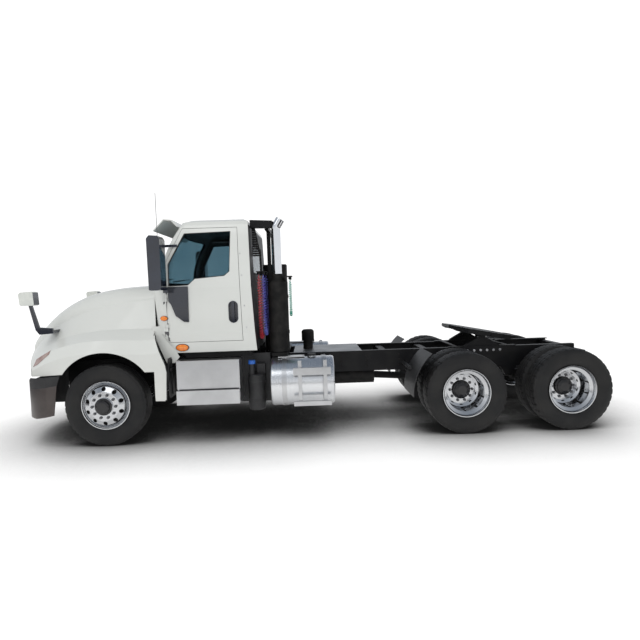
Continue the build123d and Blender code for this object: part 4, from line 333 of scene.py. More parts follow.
# %% Polish the wheels
WHEEL_METAL, HUB_PAINT = (0.60, 0.61, 0.625), (0.015, 0.015, 0.016)
TURNING_MARKS = 2500.0


def wheel_material(name, centre, hub_r):
    """Polished wheel with turning marks, and black paint inside a radius round its axle."""
    mat, tree, shader = new_material(name, (0.8, 0.81, 0.82), metallic=1.0, roughness=0.16)
    from_axle = put(tree, "Mapping", {
        "Vector": put(tree, "TexCoord", {}).outputs["Object"], "Location": (-centre.x, 0.0, -centre.z),
        "Scale": (1.0, 0.0, 1.0)})
    reach = put(tree, "VectorMath", {0: from_axle.outputs["Vector"]}, operation="LENGTH").outputs["Value"]
    on_hub = put(tree, "Math", {0: reach, 1: hub_r}, operation="LESS_THAN").outputs["Value"]
    tree.links.new(blend(tree, on_hub, WHEEL_METAL, HUB_PAINT), shader.inputs["Base Color"])
    metal = put(tree, "Math", {0: 1.0, 1: on_hub}, operation="SUBTRACT")
    tree.links.new(metal.outputs["Value"], shader.inputs["Metallic"])
    turned = put(tree, "Math", {0: reach, 1: TURNING_MARKS}, operation="MULTIPLY").outputs["Value"]
    marks = put(tree, "Math", {0: turned}, operation="SINE")
    add_bump(tree, shader, marks.outputs["Value"], 0.05, 0.0003)
    return mat


print("wheel finish ready")

# %% [markdown]
# ## Tyre rubber
#
# A tyre is near black and only a little glossy, and road film greys it in patches. Its grain is coarser
# than that of the other rubber, because a mould's texture is left on the side wall.

# %% Mix the tyre rubber
def tyre_material():
    """Road rubber with a slow change of tone and a fine grain."""
    mat, tree, shader = new_material("tyre_rubber", (0.02, 0.02, 0.02), roughness=0.56, specular=0.3)
    add_mottle(tree, shader, (0.011, 0.011, 0.0115), (0.018, 0.0175, 0.017), 4.0)
    grain = put(tree, "TexNoise", {"Vector": object_coords(tree), "Scale": 260.0})
    add_bump(tree, shader, grain.outputs["Fac"], 0.3, 0.0008)
    return mat


tyre_rubber = tyre_material()
print("tyre rubber", tyre_rubber.name)

# %% [markdown]
# ## Smooth faces and sharp edges
#
# A turned or bent piece should shade smoothly while its true corners stay crisp. A modifier could do that,
# but then every later step would have to apply it. Marking the edges by their angle does it on the mesh.

# %% Shade by angle, and make objects
def smooth_by_angle(obj, degrees_limit):
    """Smooth shading that keeps edges sharper than the limit."""
    for polygon in obj.data.polygons:
        polygon.use_smooth = True
    mesh = bmesh.new()
    mesh.from_mesh(obj.data)
    for edge in mesh.edges:
        if len(edge.link_faces) == 2 and edge.calc_face_angle() > radians(degrees_limit):
            edge.smooth = False
    mesh.to_mesh(obj.data)
    mesh.free()


def mesh_object(name, mesh, finish):
    """Object of a built mesh with one finish, linked to the scene."""
    data = bpy.data.meshes.new(name)
    mesh.to_mesh(data)
    mesh.free()
    data.materials.append(finish)
    obj = bpy.data.objects.new(name, data)
    bpy.context.collection.objects.link(obj)
    return obj


print("shading and object helpers ready")

# %% [markdown]
# ## Finish the solids that are right as they are
#
# Most solids keep their shape and only need a finish. One table says which node wears which material, so
# that a change of finish is a change of one word.

# %% Assign finishes to the carried nodes
FINISH = {
    paint: ("hood", *CAB_SHELL, "sun_visor"),
    chassis_black: ("frame_rails", "crossmembers", "suspension_arms", "fifth_wheel_base",
                    "fifth_wheel_plate", "stack_bracket", "cab_floor"),
    cast: ("front_axle", "driveline", "engine", "knuckle_left", "knuckle_right", "tie_rod",
           "air_system", "muffler"),
    trim: ("bumper_band", "quarter_fenders", "def_tank"),
    gloss_black_painted_reflection: ("grille", "hood_mirrors", "cab_mirror_left", "cab_mirror_right"),
    rubber: ("air_springs", "air_line_red", "air_line_blue", "power_line"),
    alloy: ("fuel_tanks",),
    alloy_panel: ("step_boxes", "tank_straps"),
    lamp_lens: ("headlamps",),
    chrome: ("exhaust_stack",),
    dark_chrome: ("bumper",),
    steel: ("radiator",),
    interior: ("dashboard", "steering_wheel"),
    seat_cloth: ("seats",),
    glass: CAB_GLASS,
    tread_plate: ("deck_plate",),
}
for finish, names in FINISH.items():
    for name in names:
        nodes[name].data.materials.clear()
        nodes[name].data.materials.append(finish)
        for polygon in nodes[name].data.polygons:
            polygon.material_index = 0
print("finished", sum(len(names) for names in FINISH.values()), "nodes")

# %% [markdown]
# ## Second finishes on one solid
#
# A door is white outside and dark inside, and the hood's underside is black. A face is under cover when
# a ray from it, aimed up and a little outwards, meets the same shell again, or when it looks across the
# room at the far wall. That rule needs no list of faces, so it holds when the shell changes shape.

# %% Helpers for rays and second finishes
ROOM_WIDTH, LIFT_OFF, RAY_REACH, LEAN_OUT = 0.9, 0.004, 4.0, 0.35


def ray_tree(names):
    """One tree for ray tests over several CAD nodes."""
    points, faces = [], []
    for name in names:
        mesh = nodes[name].data
        first = len(points)
        points += [vertex.co.copy() for vertex in mesh.vertices]
        faces += [[first + index for index in polygon.vertices] for polygon in mesh.polygons]
    return BVHTree.FromPolygons(points, faces)


def second_finish(name, finish, chosen):
    """Gives the chosen polygons of a CAD node another finish."""
    mesh = nodes[name].data
    mesh.materials.append(finish)
    for polygon in mesh.polygons:
        if chosen(mesh, polygon):
            polygon.material_index = len(mesh.materials) - 1


def under_cover(tree):
    """A test that says whether a polygon is roofed over, or looks across the room at the far wall."""
    def covered(mesh, polygon):
        start = polygon.center + LIFT_OFF * polygon.normal
        aim = (Vector((0, 0, 1)) + LEAN_OUT * polygon.normal).normalized()
        if tree.ray_cast(start, aim, RAY_REACH)[0] is not None:
            return True
        distance = tree.ray_cast(start, polygon.normal, RAY_REACH)[3]
        return distance is not None and distance > ROOM_WIDTH
    return covered


print("cover test ready")

# %% Darken what is under cover
cab_tree = ray_tree(CAB_SHELL + CAB_GLASS)
for name in CAB_SHELL:
    second_finish(name, interior, under_cover(cab_tree))
second_finish("hood", trim, under_cover(ray_tree(("hood",))))
# faces of the cab's back wall that look back wear the dark trim as painted shade, for the shade behind the
# cab
BACK_SHADE_FACING = -0.4
second_finish("cab_back", trim, lambda mesh, polygon: polygon.normal.x < BACK_SHADE_FACING)
print("inside of", len(CAB_SHELL), "cab shells and the hood darkened")

# %% [markdown]
# ## Handles, mirror heads and caps
#
# Some small forms are part of a larger solid: a door's handle, a mirror's head or a tank's cap. Where one
# stands is known, so the faces inside that space are picked and finished anew, and no mesh is doubled.

# %% Door handles, mirror heads and caps
HANDLE = Vector((FRONT_X - 1.595, 0.0, 1.603))
HANDLE_REACH = (0.066, 0.155)


def in_handle(mesh, polygon):
    """Whether all of a polygon lies in the door handle's field."""
    corners = [mesh.vertices[i].co - HANDLE for i in polygon.vertices]
    return all(abs(corner.x) < HANDLE_REACH[0] and abs(corner.z) < HANDLE_REACH[1] for corner in corners)


for side_name, _ in SIDES:
    second_finish(f"door_{side_name}", gloss_black_painted_reflection, in_handle)

HOOD_MIRROR_FOOT, GLASS_FACING = 1.765, -0.5
second_finish("hood_mirrors", mirror_back, lambda mesh, polygon: (
    polygon.center.z > HOOD_MIRROR_FOOT and polygon.normal.x > GLASS_FACING))
CAP_FOOT, CAP_INNER_Y = 0.925, 0.89
second_finish("def_tank", blue_cap, lambda mesh, polygon: (
    polygon.center.z > CAP_FOOT and polygon.center.y > CAP_INNER_Y))
FILLER_CAP_T = 0.03
TANK_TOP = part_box("fuel_tanks")[1][2] - FILLER_CAP_T
second_finish("fuel_tanks", trim, lambda mesh, polygon: polygon.center.z > TANK_TOP)
print("second finishes done")

# %% [markdown]
# ## Tyres with a real tread
#
# A tread could be a bump texture, but its shoulder shows against the floor, so it is real geometry: a
# surface turned about the axle whose radius drops into its grooves. The grid has one column for each
# small step of angle, so the sipes across the ribs come from the same rule as the grooves.

# %% The tyre's section
TREAD_DEPTH, GROOVE_WALL = 0.014, 0.0012
ANGLE_STEPS, STEPS_PER_SIPE = 216, 6
SHOULDER_Y, SHOULDER_SHARE, RIB_SHARE = 0.089, 0.8, 0.5
CENTRE_RIB_Y, SIDE_CUT, SIDE_CUT_Y, SIDE_CUT_R = 0.03, 0.003, 0.118, 0.47
BEAD_R, CROWN_FALL, EDGE_Y, EDGE_FALL = 0.2995, 0.30, 0.09, 8.0
TREAD_EDGE_DEGREES = 38


def tyre_profile():
    """Section as (across, radius, in the tread) from the inner bead round to the outer bead."""
    half = TYRE_W / 2
    side = [
        (0.103, BEAD_R), (0.112, BEAD_R + 0.012), (0.122, 0.330), (0.131, 0.350), (0.1365, 0.375),
        (half, 0.405), (half, 0.425), (0.1375, 0.445), (0.133, 0.462), (0.128, 0.474),
        (0.1245, 0.4765), (0.123, 0.484), (0.119, 0.490)]
    grooves = ((-0.088, -0.080), (-0.034, -0.025), (0.025, 0.034), (0.080, 0.088))
    plain_places = {-0.116, -0.100, -0.058, 0.0, 0.058, 0.100, 0.116}
    across = sorted(plain_places | {edge for pair in grooves for edge in pair})
    tread = []
    for y in across:
        crown = TYRE_R - CROWN_FALL * y * y - EDGE_FALL * max(0.0, abs(y) - EDGE_Y) ** 2
        for low, high in grooves:
            if y == low:
                tread += [(y, crown), (y + GROOVE_WALL, crown - TREAD_DEPTH)]
                break
            if y == high:
                tread += [(y - GROOVE_WALL, crown - TREAD_DEPTH), (y, crown)]
                break
        else:
            tread.append((y, crown))
    return ([(-y, radius, False) for y, radius in side] + [(y, radius, True) for y, radius in tread]
            + [(y, radius, False) for y, radius in reversed(side)])


print("section points", len(tyre_profile()))

# %% Turn the section into tyres
def tyre_mesh(name, centres, lugged):
    """One object holding a treaded tyre at each centre."""
    profile = tyre_profile()
    mesh = bmesh.new()
    for centre in centres:
        rings = []
        for step in range(ANGLE_STEPS):
            angle = 2 * pi * step / ANGLE_STEPS
            ring = []
            for y, radius, in_tread in profile:
                sipe = step % STEPS_PER_SIPE == 0
                shoulder = in_tread and abs(y) > SHOULDER_Y
                if in_tread and sipe and (shoulder or lugged) and abs(y) > CENTRE_RIB_Y:
                    radius = radius - TREAD_DEPTH * (SHOULDER_SHARE if shoulder else RIB_SHARE)
                elif not in_tread and sipe and abs(y) > SIDE_CUT_Y and radius > SIDE_CUT_R:
                    radius = radius - SIDE_CUT
                ring.append(mesh.verts.new((
                    centre.x + radius * cos(angle), centre.y + y, centre.z + radius * sin(angle))))
            rings.append(ring)
        for step in range(ANGLE_STEPS):
            here, there = rings[step], rings[(step + 1) % ANGLE_STEPS]
            for i in range(len(profile) - 1):
                mesh.faces.new((here[i], here[i + 1], there[i + 1], there[i]))
    bmesh.ops.recalc_face_normals(mesh, faces=mesh.faces)
    obj = mesh_object(name, mesh, tyre_rubber)
    smooth_by_angle(obj, TREAD_EDGE_DEGREES)
    return obj


print("a tyre's faces", ANGLE_STEPS * (len(tyre_profile()) - 1))

# %% List the wheels
# body, tyre node, wheel node, side, and whether the ribs are cut through as on a drive tyre
WHEEL_BODIES = []
for side_name, side in SIDES:
    WHEEL_BODIES.append((f"front_wheel_{side_name}", f"tyre_front_{side_name}",
                         f"wheel_front_{side_name}", side, False))
    for axle in ("mid", "rear"):
        WHEEL_BODIES.append((f"drive_wheels_{axle}_{side_name}", f"tyres_{axle}_{side_name}",
                             f"wheels_{axle}_{side_name}", side, True))

print("wheel bodies", len(WHEEL_BODIES))

# %% [markdown]
# ## Hand holes and hubs
#
# A wheel's hand holes look black, because they open on the brake drum and its shade. Light alone won't do
# that on a polished solid, which mirrors the sky even inside a hole. So the wheel's faces behind the disc
# and inside the drum's radius, and the walls of the holes, wear the dark cast finish as painted shade, by
# where they lie, and the disc stays polished.

# %% Find what lies in the drum's shade
DRUM_R, WALL_FACING = 0.250, 0.5
HAND_HOLES, HAND_CIRCLE_R, HAND_HOLE_R, HOLE_MARGIN = 10, 0.212, 0.026, 1.1


def painted_drum_shade(centre, side, face):
    """A test for the wheel's faces that get painted shade: behind the disc inside the drum's radius, and
    the hole walls.
    """
    angles = [2 * pi * (number + 0.5) / HAND_HOLES for number in range(HAND_HOLES)]
    places = [(HAND_CIRCLE_R * cos(angle), HAND_CIRCLE_R * sin(angle)) for angle in angles]

    def gets_painted_shade(mesh, polygon):
        x, z = polygon.center.x - centre.x, polygon.center.z - centre.z
        if (x * x + z * z) ** 0.5 < DRUM_R and (polygon.center.y - centre.y) * side < face:
            return True
        wall = abs(polygon.normal.y) < WALL_FACING
        return wall and any(
            ((x - a) ** 2 + (z - b) ** 2) ** 0.5 < HAND_HOLE_R * HOLE_MARGIN for a, b in places)
    return gets_painted_shade


print("hand holes to a wheel", HAND_HOLES)

# %% Dress the wheels
# behind these planes, measured from a wheel's middle, the brake drum shows through the hand holes, and the
# wheel's faces there, inside the drum's radius, wear painted shade
STEER_DRUM_FACE, TWIN_DRUM_FACE = 0.118, -0.005
TWIN_HUB_R, STEER_HUB_R = 0.122, 0.106
for body, tyre_node, wheel_node, side, lugged in WHEEL_BODIES:
    low, high = (Vector(corner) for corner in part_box(tyre_node))
    centre = (low + high) / 2
    if lugged:
        reach = (high.y - low.y - TYRE_W) / 2
        centres = [centre + Vector((0, offset, 0)) for offset in (-reach, reach)]
    else:
        centres = [centre]
    dressed = tyre_mesh(f"tread_{tyre_node}", centres, lugged)
    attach(dressed, body)
    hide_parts(tyre_node)
    hub_r = TWIN_HUB_R if lugged else STEER_HUB_R
    nodes[wheel_node].data.materials.clear()
    nodes[wheel_node].data.materials.append(wheel_material(f"alloy_{wheel_node}", centre, hub_r))
    second_finish(wheel_node, cast, painted_drum_shade(centre, side, TWIN_DRUM_FACE if lugged else STEER_DRUM_FACE))
print("tyres dressed", len(WHEEL_BODIES))

# %% [markdown]
# ## Turned trim
#
# Nuts, rivets, bolt heads and lamp lenses are all turned about an axis. Each could start from a cylinder,
# but then every kind would need its own cuts, so one lathe makes them all from a short profile. Each is
# set on the surface that a ray finds, and so it follows the solid that carries it.

# %% The lathe and the ray
FAR_RAY, BESIDE = 20.0, 2.0
SQUARE_STEPS, HEX_STEPS, BOX_STEPS = 4, 6, 8
STUD_STEPS, HEAD_STEPS, WASHER_STEPS, LENS_STEPS = 12, 14, 16, 28
CRISP_DEGREES, SOFT_DEGREES, CLOTH_DEGREES = 30, 40, 60


def lathe(mesh, place, axis, profile, steps, wide=1.0):
    """Turns (radius, along) pairs about an axis, stretched sideways by wide, and closes the ends."""
    turn = axis.to_track_quat("Z", "Y").to_matrix()
    rings = []
    for radius, along in profile:
        rings.append([
            mesh.verts.new(place + turn @ Vector((
                wide * radius * cos(2 * pi * step / steps), radius * sin(2 * pi * step / steps), along)))
            for step in range(steps)])
    for here, there in zip(rings, rings[1:]):
        for step in range(steps):
            after = (step + 1) % steps
            mesh.faces.new((here[step], here[after], there[after], there[step]))
    mesh.faces.new(list(reversed(rings[0])))
    mesh.faces.new(rings[-1])


def place_piece(name, mesh, finish, body, smooth=SOFT_DEGREES):
    """Makes an object of a mesh, finishes it and lets it ride on a body."""
    bmesh.ops.recalc_face_normals(mesh, faces=mesh.faces)
    obj = mesh_object(name, mesh, finish)
    smooth_by_angle(obj, smooth)
    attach(obj, body)
    return obj


def meet(tree, start, aim):
    """Point and outward normal where a ray meets a tree."""
    point, normal, _, _ = tree.ray_cast(Vector(start), Vector(aim).normalized(), FAR_RAY)
    if normal.dot(Vector(aim)) > 0:
        normal = -normal
    return point, normal


print("lathe ready")

# %% [markdown]
# ## Wheel nuts
#
# Ten nuts on a bolt circle hold each wheel. A nut is a round washer, a hexagon and the end of its stud: all
# three come from the lathe, the hexagon by turning in six steps. They turn with their wheel's body.

# %% Wheel nuts
BOLT_CIRCLE_R, NUTS, STUD_FOOT = 0.1429, 10, 0.021
WASHER = [(0.0185, 0.0), (0.0185, 0.003), (0.0165, 0.0045)]
HEX_NUT = [(0.0165, 0.004), (0.0165, 0.021), (0.013, 0.025)]
STUD = [(0.0105, 0.0), (0.0105, 0.008), (0.0085, 0.010)]
for body, _, wheel_node, side, _ in WHEEL_BODIES:
    wheel_tree = ray_tree((wheel_node,))
    centre = middle(wheel_node)
    nuts = bmesh.new()
    for number in range(NUTS):
        angle = 2 * pi * number / NUTS
        start = (centre.x + BOLT_CIRCLE_R * cos(angle), side * BESIDE,
                 centre.z + BOLT_CIRCLE_R * sin(angle))
        seat, _ = meet(wheel_tree, start, (0, -side, 0))
        out = Vector((0, side, 0))
        lathe(nuts, seat, out, WASHER, WASHER_STEPS)
        lathe(nuts, seat, out, HEX_NUT, HEX_STEPS)
        lathe(nuts, seat + STUD_FOOT * out, out, STUD, STUD_STEPS)
    # the nuts wear the dull dark steel, which is partly their own metal and partly painted shade round them
    place_piece(f"nuts_{body}", nuts, steel, body, CRISP_DEGREES)
print("wheel nuts", NUTS * len(WHEEL_BODIES))

# %% [markdown]
# ## Rivets and side lamps
#
# Rivets run up the cab's rear corner, and two amber lamps sit on its flank. A lamp is a dark base and a
# domed lens. The box lamp is a lens turned in eight steps, and both are stretched along the truck.

# %% Rivets and side lamps
RIVET = [(0.0085, 0.0), (0.008, 0.0015), (0.0055, 0.0035), (0.002, 0.0045)]
RIVET_PLACES = ((-1.700, 2.322), (-1.714, 2.052), (-1.735, 1.675), (-1.752, 1.405))
# kind, place along from the front axle, height, stretch, half height, steps of the lathe
SIDE_LAMPS = (("box", -0.738, 1.548, 1.7, 0.030, BOX_STEPS),
              ("oval", -0.940, 1.176, 1.75, 0.043, LENS_STEPS))
# lens and base as (share of the half height, metres outwards)
LENS = ((1.0, 0.004), (1.0, 0.013), (0.9, 0.018), (0.5, 0.021), (0.1, 0.022))
LAMP_BASE, BASE_SINK = ((1.12, 0.0), (1.12, 0.009), (1.02, 0.011)), 0.004
shell_tree = ray_tree(CAB_SHELL)
for side_name, side in SIDES:
    rivets = bmesh.new()
    for along, height in RIVET_PLACES:
        seat, out = meet(shell_tree, (FRONT_X + along, side * BESIDE, height), (0, -side, 0))
        lathe(rivets, seat, out, RIVET, HEAD_STEPS)
    place_piece(f"rivets_{side_name}", rivets, bolt_metal, "chassis")
    for kind, along, height, wide, tall, steps in SIDE_LAMPS:
        seat, out = meet(shell_tree, (FRONT_X + along, side * BESIDE, height), (0, -side, 0))
        base, lens = bmesh.new(), bmesh.new()
        for part, shares, sink in ((base, LAMP_BASE, BASE_SINK), (lens, LENS, 0.0)):
            profile = [(tall * share, rise) for share, rise in shares]
            lathe(part, seat - sink * out, out, profile, steps, wide)
        place_piece(f"lamp_base_{kind}_{side_name}", base, trim, "chassis")
        place_piece(f"lamp_lens_{kind}_{side_name}", lens, amber, "chassis")
print("rivets", 2 * len(RIVET_PLACES), "side lamps", 2 * len(SIDE_LAMPS))

# %% [markdown]
# ## Tail lamps
#
# Two round red lenses close the frame's rear on each side. They could be placed by a number, but the ray
# comes from behind, so they sit on whatever part of the frame ends it.

# %% Tail lamps
TAIL_LENS = [(0.038, 0.0), (0.038, 0.004), (0.034, 0.008), (0.015, 0.010), (0.004, 0.0105)]
TAIL_Y, TAIL_Z, TAIL_OFFSETS, BEHIND_X = 0.492, 0.855, (-0.045, 0.045), -6.0
frame_tree = ray_tree(("crossmembers", "frame_rails", "fifth_wheel_base"))
for side_name, side in SIDES:
    seat, out = meet(frame_tree, (BEHIND_X, side * TAIL_Y, TAIL_Z), (1, 0, 0))
    tail = bmesh.new()
    for offset in TAIL_OFFSETS:
        lathe(tail, seat + Vector((0, offset, 0)), out, TAIL_LENS, LENS_STEPS)
    place_piece(f"tail_lenses_{side_name}", tail, red_lens, "chassis")
print("tail lenses", len(SIDES) * len(TAIL_OFFSETS))

# %% [markdown]
# ## Bolts along the rails
#
# Crossmembers are bolted to the rails in columns of three, and the coupling's mount in one bright row. A
# flanged head is two turns of the lathe: a round flange and a hexagon.

# %% Bolts along the rails
BOLT_FLANGE = [(0.017, 0.0), (0.017, 0.003), (0.0125, 0.0035)]
BOLT_HEX = [(0.0125, 0.0035), (0.0125, 0.011), (0.0105, 0.013)]
RAIL_BOLTS = [(along, height) for along in (-0.35, -1.75, -2.95, -3.30, -3.75)
              for height in (0.775, 0.845, 0.915)]
MOUNT_BOLTS = [(-4.34 - 0.09 * number, 0.935) for number in range(10)]
for side_name, side in SIDES:
    for row, places, finish in (("rail", RAIL_BOLTS, cast), ("mount", MOUNT_BOLTS, bolt_metal)):
        bolts = bmesh.new()
        for along, height in places:
            seat, out = meet(frame_tree, (FRONT_X + along, side * BESIDE, height), (0, -side, 0))
            lathe(bolts, seat, out, BOLT_FLANGE, HEAD_STEPS)
            lathe(bolts, seat, out, BOLT_HEX, HEX_STEPS)
        place_piece(f"{row}_bolts_{side_name}", bolts, finish, "chassis", CRISP_DEGREES)
print("frame bolts", len(SIDES) * (len(RAIL_BOLTS) + len(MOUNT_BOLTS)))

# %% [markdown]
# ## Rubber round the glass
#
# A pane sits in a rubber gasket. It could be swept along a copied outline, but the pane has the outline
# already: the edges that only one outer face uses are its rim. They are chained into a loop, and a soft
# tube is drawn along it.

# %% Chain the rim of a set of faces
def rim_loops(name, chosen):
    """Loops of points round the chosen polygons of a CAD node."""
    mesh = nodes[name].data
    uses = {}
    for polygon in mesh.polygons:
        if chosen(mesh, polygon):
            corners = [tuple(round(c, 5) for c in mesh.vertices[i].co) for i in polygon.vertices]
            for a, b in zip(corners, corners[1:] + corners[:1]):
                uses.setdefault(frozenset((a, b)), []).append((a, b))
    after = {}
    for directions in uses.values():
        if len(directions) == 1 and directions[0][0] != directions[0][1]:
            after[directions[0][0]] = directions[0][1]
    loops = []
    while after:
        start, step = after.popitem()
        loop = [start]
        while step in after and step != start:
            loop.append(step)
            step = after.pop(step)
        loops.append([Vector(point) for point in loop])
    return loops


def tube(name, points, radius, finish, body, closed=True):
    """Round tube along a line of points."""
    curve = bpy.data.curves.new(name, "CURVE")
    curve.dimensions = "3D"
    curve.bevel_depth = radius
    curve.bevel_resolution = 3
    spline = curve.splines.new("POLY")
    spline.points.add(len(points) - 1)
    for control, point in zip(spline.points, points):
        control.co = (*point, 1.0)
    spline.use_cyclic_u = closed
    curve.materials.append(finish)
    obj = bpy.data.objects.new(name, curve)
    bpy.context.collection.objects.link(obj)
    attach(obj, body)
    return obj


print("rim helper ready")

# %% Draw the gaskets
GASKET_R, DOOR_FACING, END_FACING, FEWEST_POINTS = 0.011, 0.6, 0.5, 6
for side_name, side in SIDES:
    pane = f"door_glass_{side_name}"
    loops = rim_loops(pane, lambda mesh, polygon: polygon.normal.y * side > DOOR_FACING)
    for number, loop in enumerate(sorted(loops, key=len, reverse=True)[:2]):
        if len(loop) > FEWEST_POINTS:
            tube(f"gasket_door_{side_name}_{number}", loop, GASKET_R, rubber, f"door_{side_name}")
for pane, facing in (("screen", 1.0), ("rear", -1.0)):
    loops = rim_loops("cab_glass", lambda mesh, polygon: polygon.normal.x * facing > END_FACING)
    for number, loop in enumerate(loops):
        if len(loop) > FEWEST_POINTS:
            tube(f"gasket_{pane}_{number}", loop, GASKET_R, rubber, "chassis")

# %% [markdown]
# ## Skirts between the hood and the cab
#
# Behind each wheel arch the hood's flank runs on as a thin skirt, and the cab's foot has a corner panel
# that meets it. Both are sheet metal, so each is a closed sheet set out in rows, a few millimetres thick:
# a single plane would show no edge, and its back would shade wrongly.

# %% Make a sheet of rows
SHEET_T = 0.004


def sheet(name, rows, side, finish, body):
    """Thin sheet through rows of (front point, rear point) given on the driver's side."""
    mesh = bmesh.new()
    outer, inner = ([[mesh.verts.new((point.x, side * (point.y - depth), point.z)) for point in row]
                     for row in rows] for depth in (0.0, SHEET_T))
    for skin in (outer, inner):
        for low, high in zip(skin, skin[1:]):
            mesh.faces.new((low[0], low[1], high[1], high[0]))
    rim = [(row[0], other[0]) for row, other in zip(outer, inner)]
    rim += [(row[1], other[1]) for row, other in reversed(list(zip(outer, inner)))]
    for (a, b), (c, d) in zip(rim, rim[1:] + rim[:1]):
        mesh.faces.new((a, b, d, c))
    return place_piece(name, mesh, finish, body, CRISP_DEGREES)


print("sheet helper ready")

# %% [markdown]
# ## Where the hood ends
#
# A skirt starts on the hood's own rear edge. A number for each row would drift when the hood changes, so
# a ray looks for the hood at each height, a small step further back each time, until it misses. The skirt
# ends on a line that leans with the joint between hood and cab, and a black seal lies along that line.

# %% Find the hood's rear edge
SEARCH_FROM, SEARCH_TO, SEARCH_STEP, SEARCH_IN = 0.520, 0.900, 0.004, 1.6
hood_tree = ray_tree(("hood",))


def hood_edge(height):
    """Last point of the hood's flank at a height, going back from the wheel arch."""
    found, back = None, SEARCH_FROM
    while back < SEARCH_TO:
        start = Vector((FRONT_X - back, BESIDE, height))
        point = hood_tree.ray_cast(start, Vector((0, -1, 0)), SEARCH_IN)[0]
        if point is None and found is not None:
            break
        found, back = point or found, back + SEARCH_STEP
    return found


# height of each row and how far behind the front axle the joint runs there
JOINT_LINE = ((0.556, 0.763), (0.760, 0.772), (0.896, 0.780), (0.985, 0.765), (1.060, 0.733),
              (1.150, 0.697), (1.209, 0.674), (1.290, 0.645), (1.340, 0.628))
print("hood's edge behind the axle", round(FRONT_X - hood_edge(JOINT_LINE[3][0]).x, 3))

# %% Hang the skirts and the corner panels
CORNER_LINE = ((0.985, 0.805), (1.060, 0.868), (1.150, 0.815),
               (1.250, 0.762), (1.350, 0.712), (1.450, 0.668))
CORNER_Y, CORNER_OVERLAP, CORNER_FRONT = 1.010, 0.030, 0.600
SKIRT_LAP, SKIRT_PROUD, LEAST_SKIRT = 0.010, 0.001, 0.004
SEAL_R, SEAL_SINK = 0.007, 0.002
skirt_rows, corner_rows = [], []
for height, back in JOINT_LINE:
    edge = hood_edge(height)
    if FRONT_X - back < edge.x - LEAST_SKIRT:
        skirt_rows.append((edge + Vector((SKIRT_LAP, SKIRT_PROUD, 0)),
                           Vector((FRONT_X - back, edge.y + SKIRT_PROUD, height))))
for height, back in CORNER_LINE:
    start = CORNER_FRONT
    for (low, low_back), (high, high_back) in reversed(list(zip(JOINT_LINE, JOINT_LINE[1:]))):
        if low <= height <= high:
            start = low_back + (high_back - low_back) * (height - low) / (high - low)
    corner_rows.append((Vector((FRONT_X - min(start, back) + CORNER_OVERLAP, CORNER_Y, height)),
                        Vector((FRONT_X - back - CORNER_OVERLAP, CORNER_Y, height))))
for side_name, side in SIDES:
    sheet(f"hood_skirt_{side_name}", skirt_rows, side, paint, "hood")
    sheet(f"cab_corner_{side_name}", corner_rows, side, paint, "chassis")
    seal = [Vector((rear.x, side * (rear.y - SEAL_SINK), rear.z)) for _, rear in skirt_rows]
    tube(f"skirt_seal_{side_name}", seal, SEAL_R, rubber, "hood", closed=False)
print("skirt rows", len(skirt_rows), "corner rows", len(corner_rows))

# %% [markdown]
# ## Black liners and shade sheets
#
# Between the bumper and each steer tyre a black splash liner keeps spray out, and its black is also painted
# shade for the dark wheelhouse. Behind the fluid tank a black sheet stands for the dark gear and the shade
# there, and closes the view to the far side. Each could be a box, but it is a flat upright sheet of two
# rows, so the sheet helper makes it in one call.

# %% Hang the shields
# the arch sheet is a black liner that is also painted shade, and the tank sheet is dark gear and painted
# shade
# name, body, half-breadth, and corners as (behind the front axle at the front, at the rear, height)
LINERS_AND_SHADE_SHEETS = (
    ("arch_liner_and_shade", "hood", 0.800, ((-0.900, -0.602, 0.500), (-0.960, -0.596, 0.940))),
    ("tank_shade_sheet", "chassis", 0.800, ((1.600, 2.010, 0.420), (1.600, 2.010, 1.050))))
for name, body, half, corners in LINERS_AND_SHADE_SHEETS:
    for side_name, side in SIDES:
        rows = [(Vector((FRONT_X - front, half, height)), Vector((FRONT_X - back, half, height)))
                for front, back, height in corners]
        sheet(f"{name}_{side_name}", rows, side, trim, body)
print("shields", len(SIDES) * len(LINERS_AND_SHADE_SHEETS))

# %% [markdown]
# ## Wipers
#
# Two wipers are parked low on the windscreen. The screen is curved, so a straight blade would cut it: rays
# find points on the glass, and blade and arm are tubes through points a little in front of those.

# %% Park the wipers
screen_tree = ray_tree(("cab_glass",))
WIPERS = ((0.62, 0.05), (-0.12, -0.70))
WIPER_FOOT_Z, WIPER_TIP_Z, ARM_SINK = 2.020, 2.060, 0.02
BLADE_STEPS, BLADE_R, BLADE_LIFT = 8, 0.006, 0.010
# the arm's three points: its foot, its knee and its hold on the blade's middle
ARM_R, ARM_ACROSS, ARM_LIFTS = 0.008, (0.10, 0.05), (0.012, 0.030, 0.024)


def on_screen(across, height, lift):
    """Point a little in front of the windscreen."""
    point, out = meet(screen_tree, (FRONT_X + 1.0, across, height), (-1, 0, 0))
    return point + lift * out


for number, (foot_y, tip_y) in enumerate(WIPERS):
    blade = [on_screen(foot_y + (tip_y - foot_y) * step / BLADE_STEPS,
                       WIPER_FOOT_Z + (WIPER_TIP_Z - WIPER_FOOT_Z) * step / BLADE_STEPS, BLADE_LIFT)
             for step in range(BLADE_STEPS + 1)]
    tube(f"wiper_blade_{number}", blade, BLADE_R, trim, "chassis", closed=False)
    arm = [on_screen(foot_y + ARM_ACROSS[0], WIPER_FOOT_Z - ARM_SINK, ARM_LIFTS[0]),
           on_screen(foot_y + ARM_ACROSS[1], WIPER_FOOT_Z, ARM_LIFTS[1]),
           on_screen((foot_y + tip_y) / 2, (WIPER_FOOT_Z + WIPER_TIP_Z) / 2, ARM_LIFTS[2])]
    tube(f"wiper_arm_{number}", arm, ARM_R, trim, "chassis", closed=False)
print("wipers", len(WIPERS))

# %% [markdown]
# ## Coiled lines behind the cab
#
# Two air lines and a power line run in curls to the trailer, and hang in a U while none is coupled. A curl
# could be a texture on a thick hose, but its outline would stay straight. So the tube is really wound: a
# line's route is a smooth spline through a few points, the coil's own points are read from it, and its
# radius grows from nothing at each fitting.

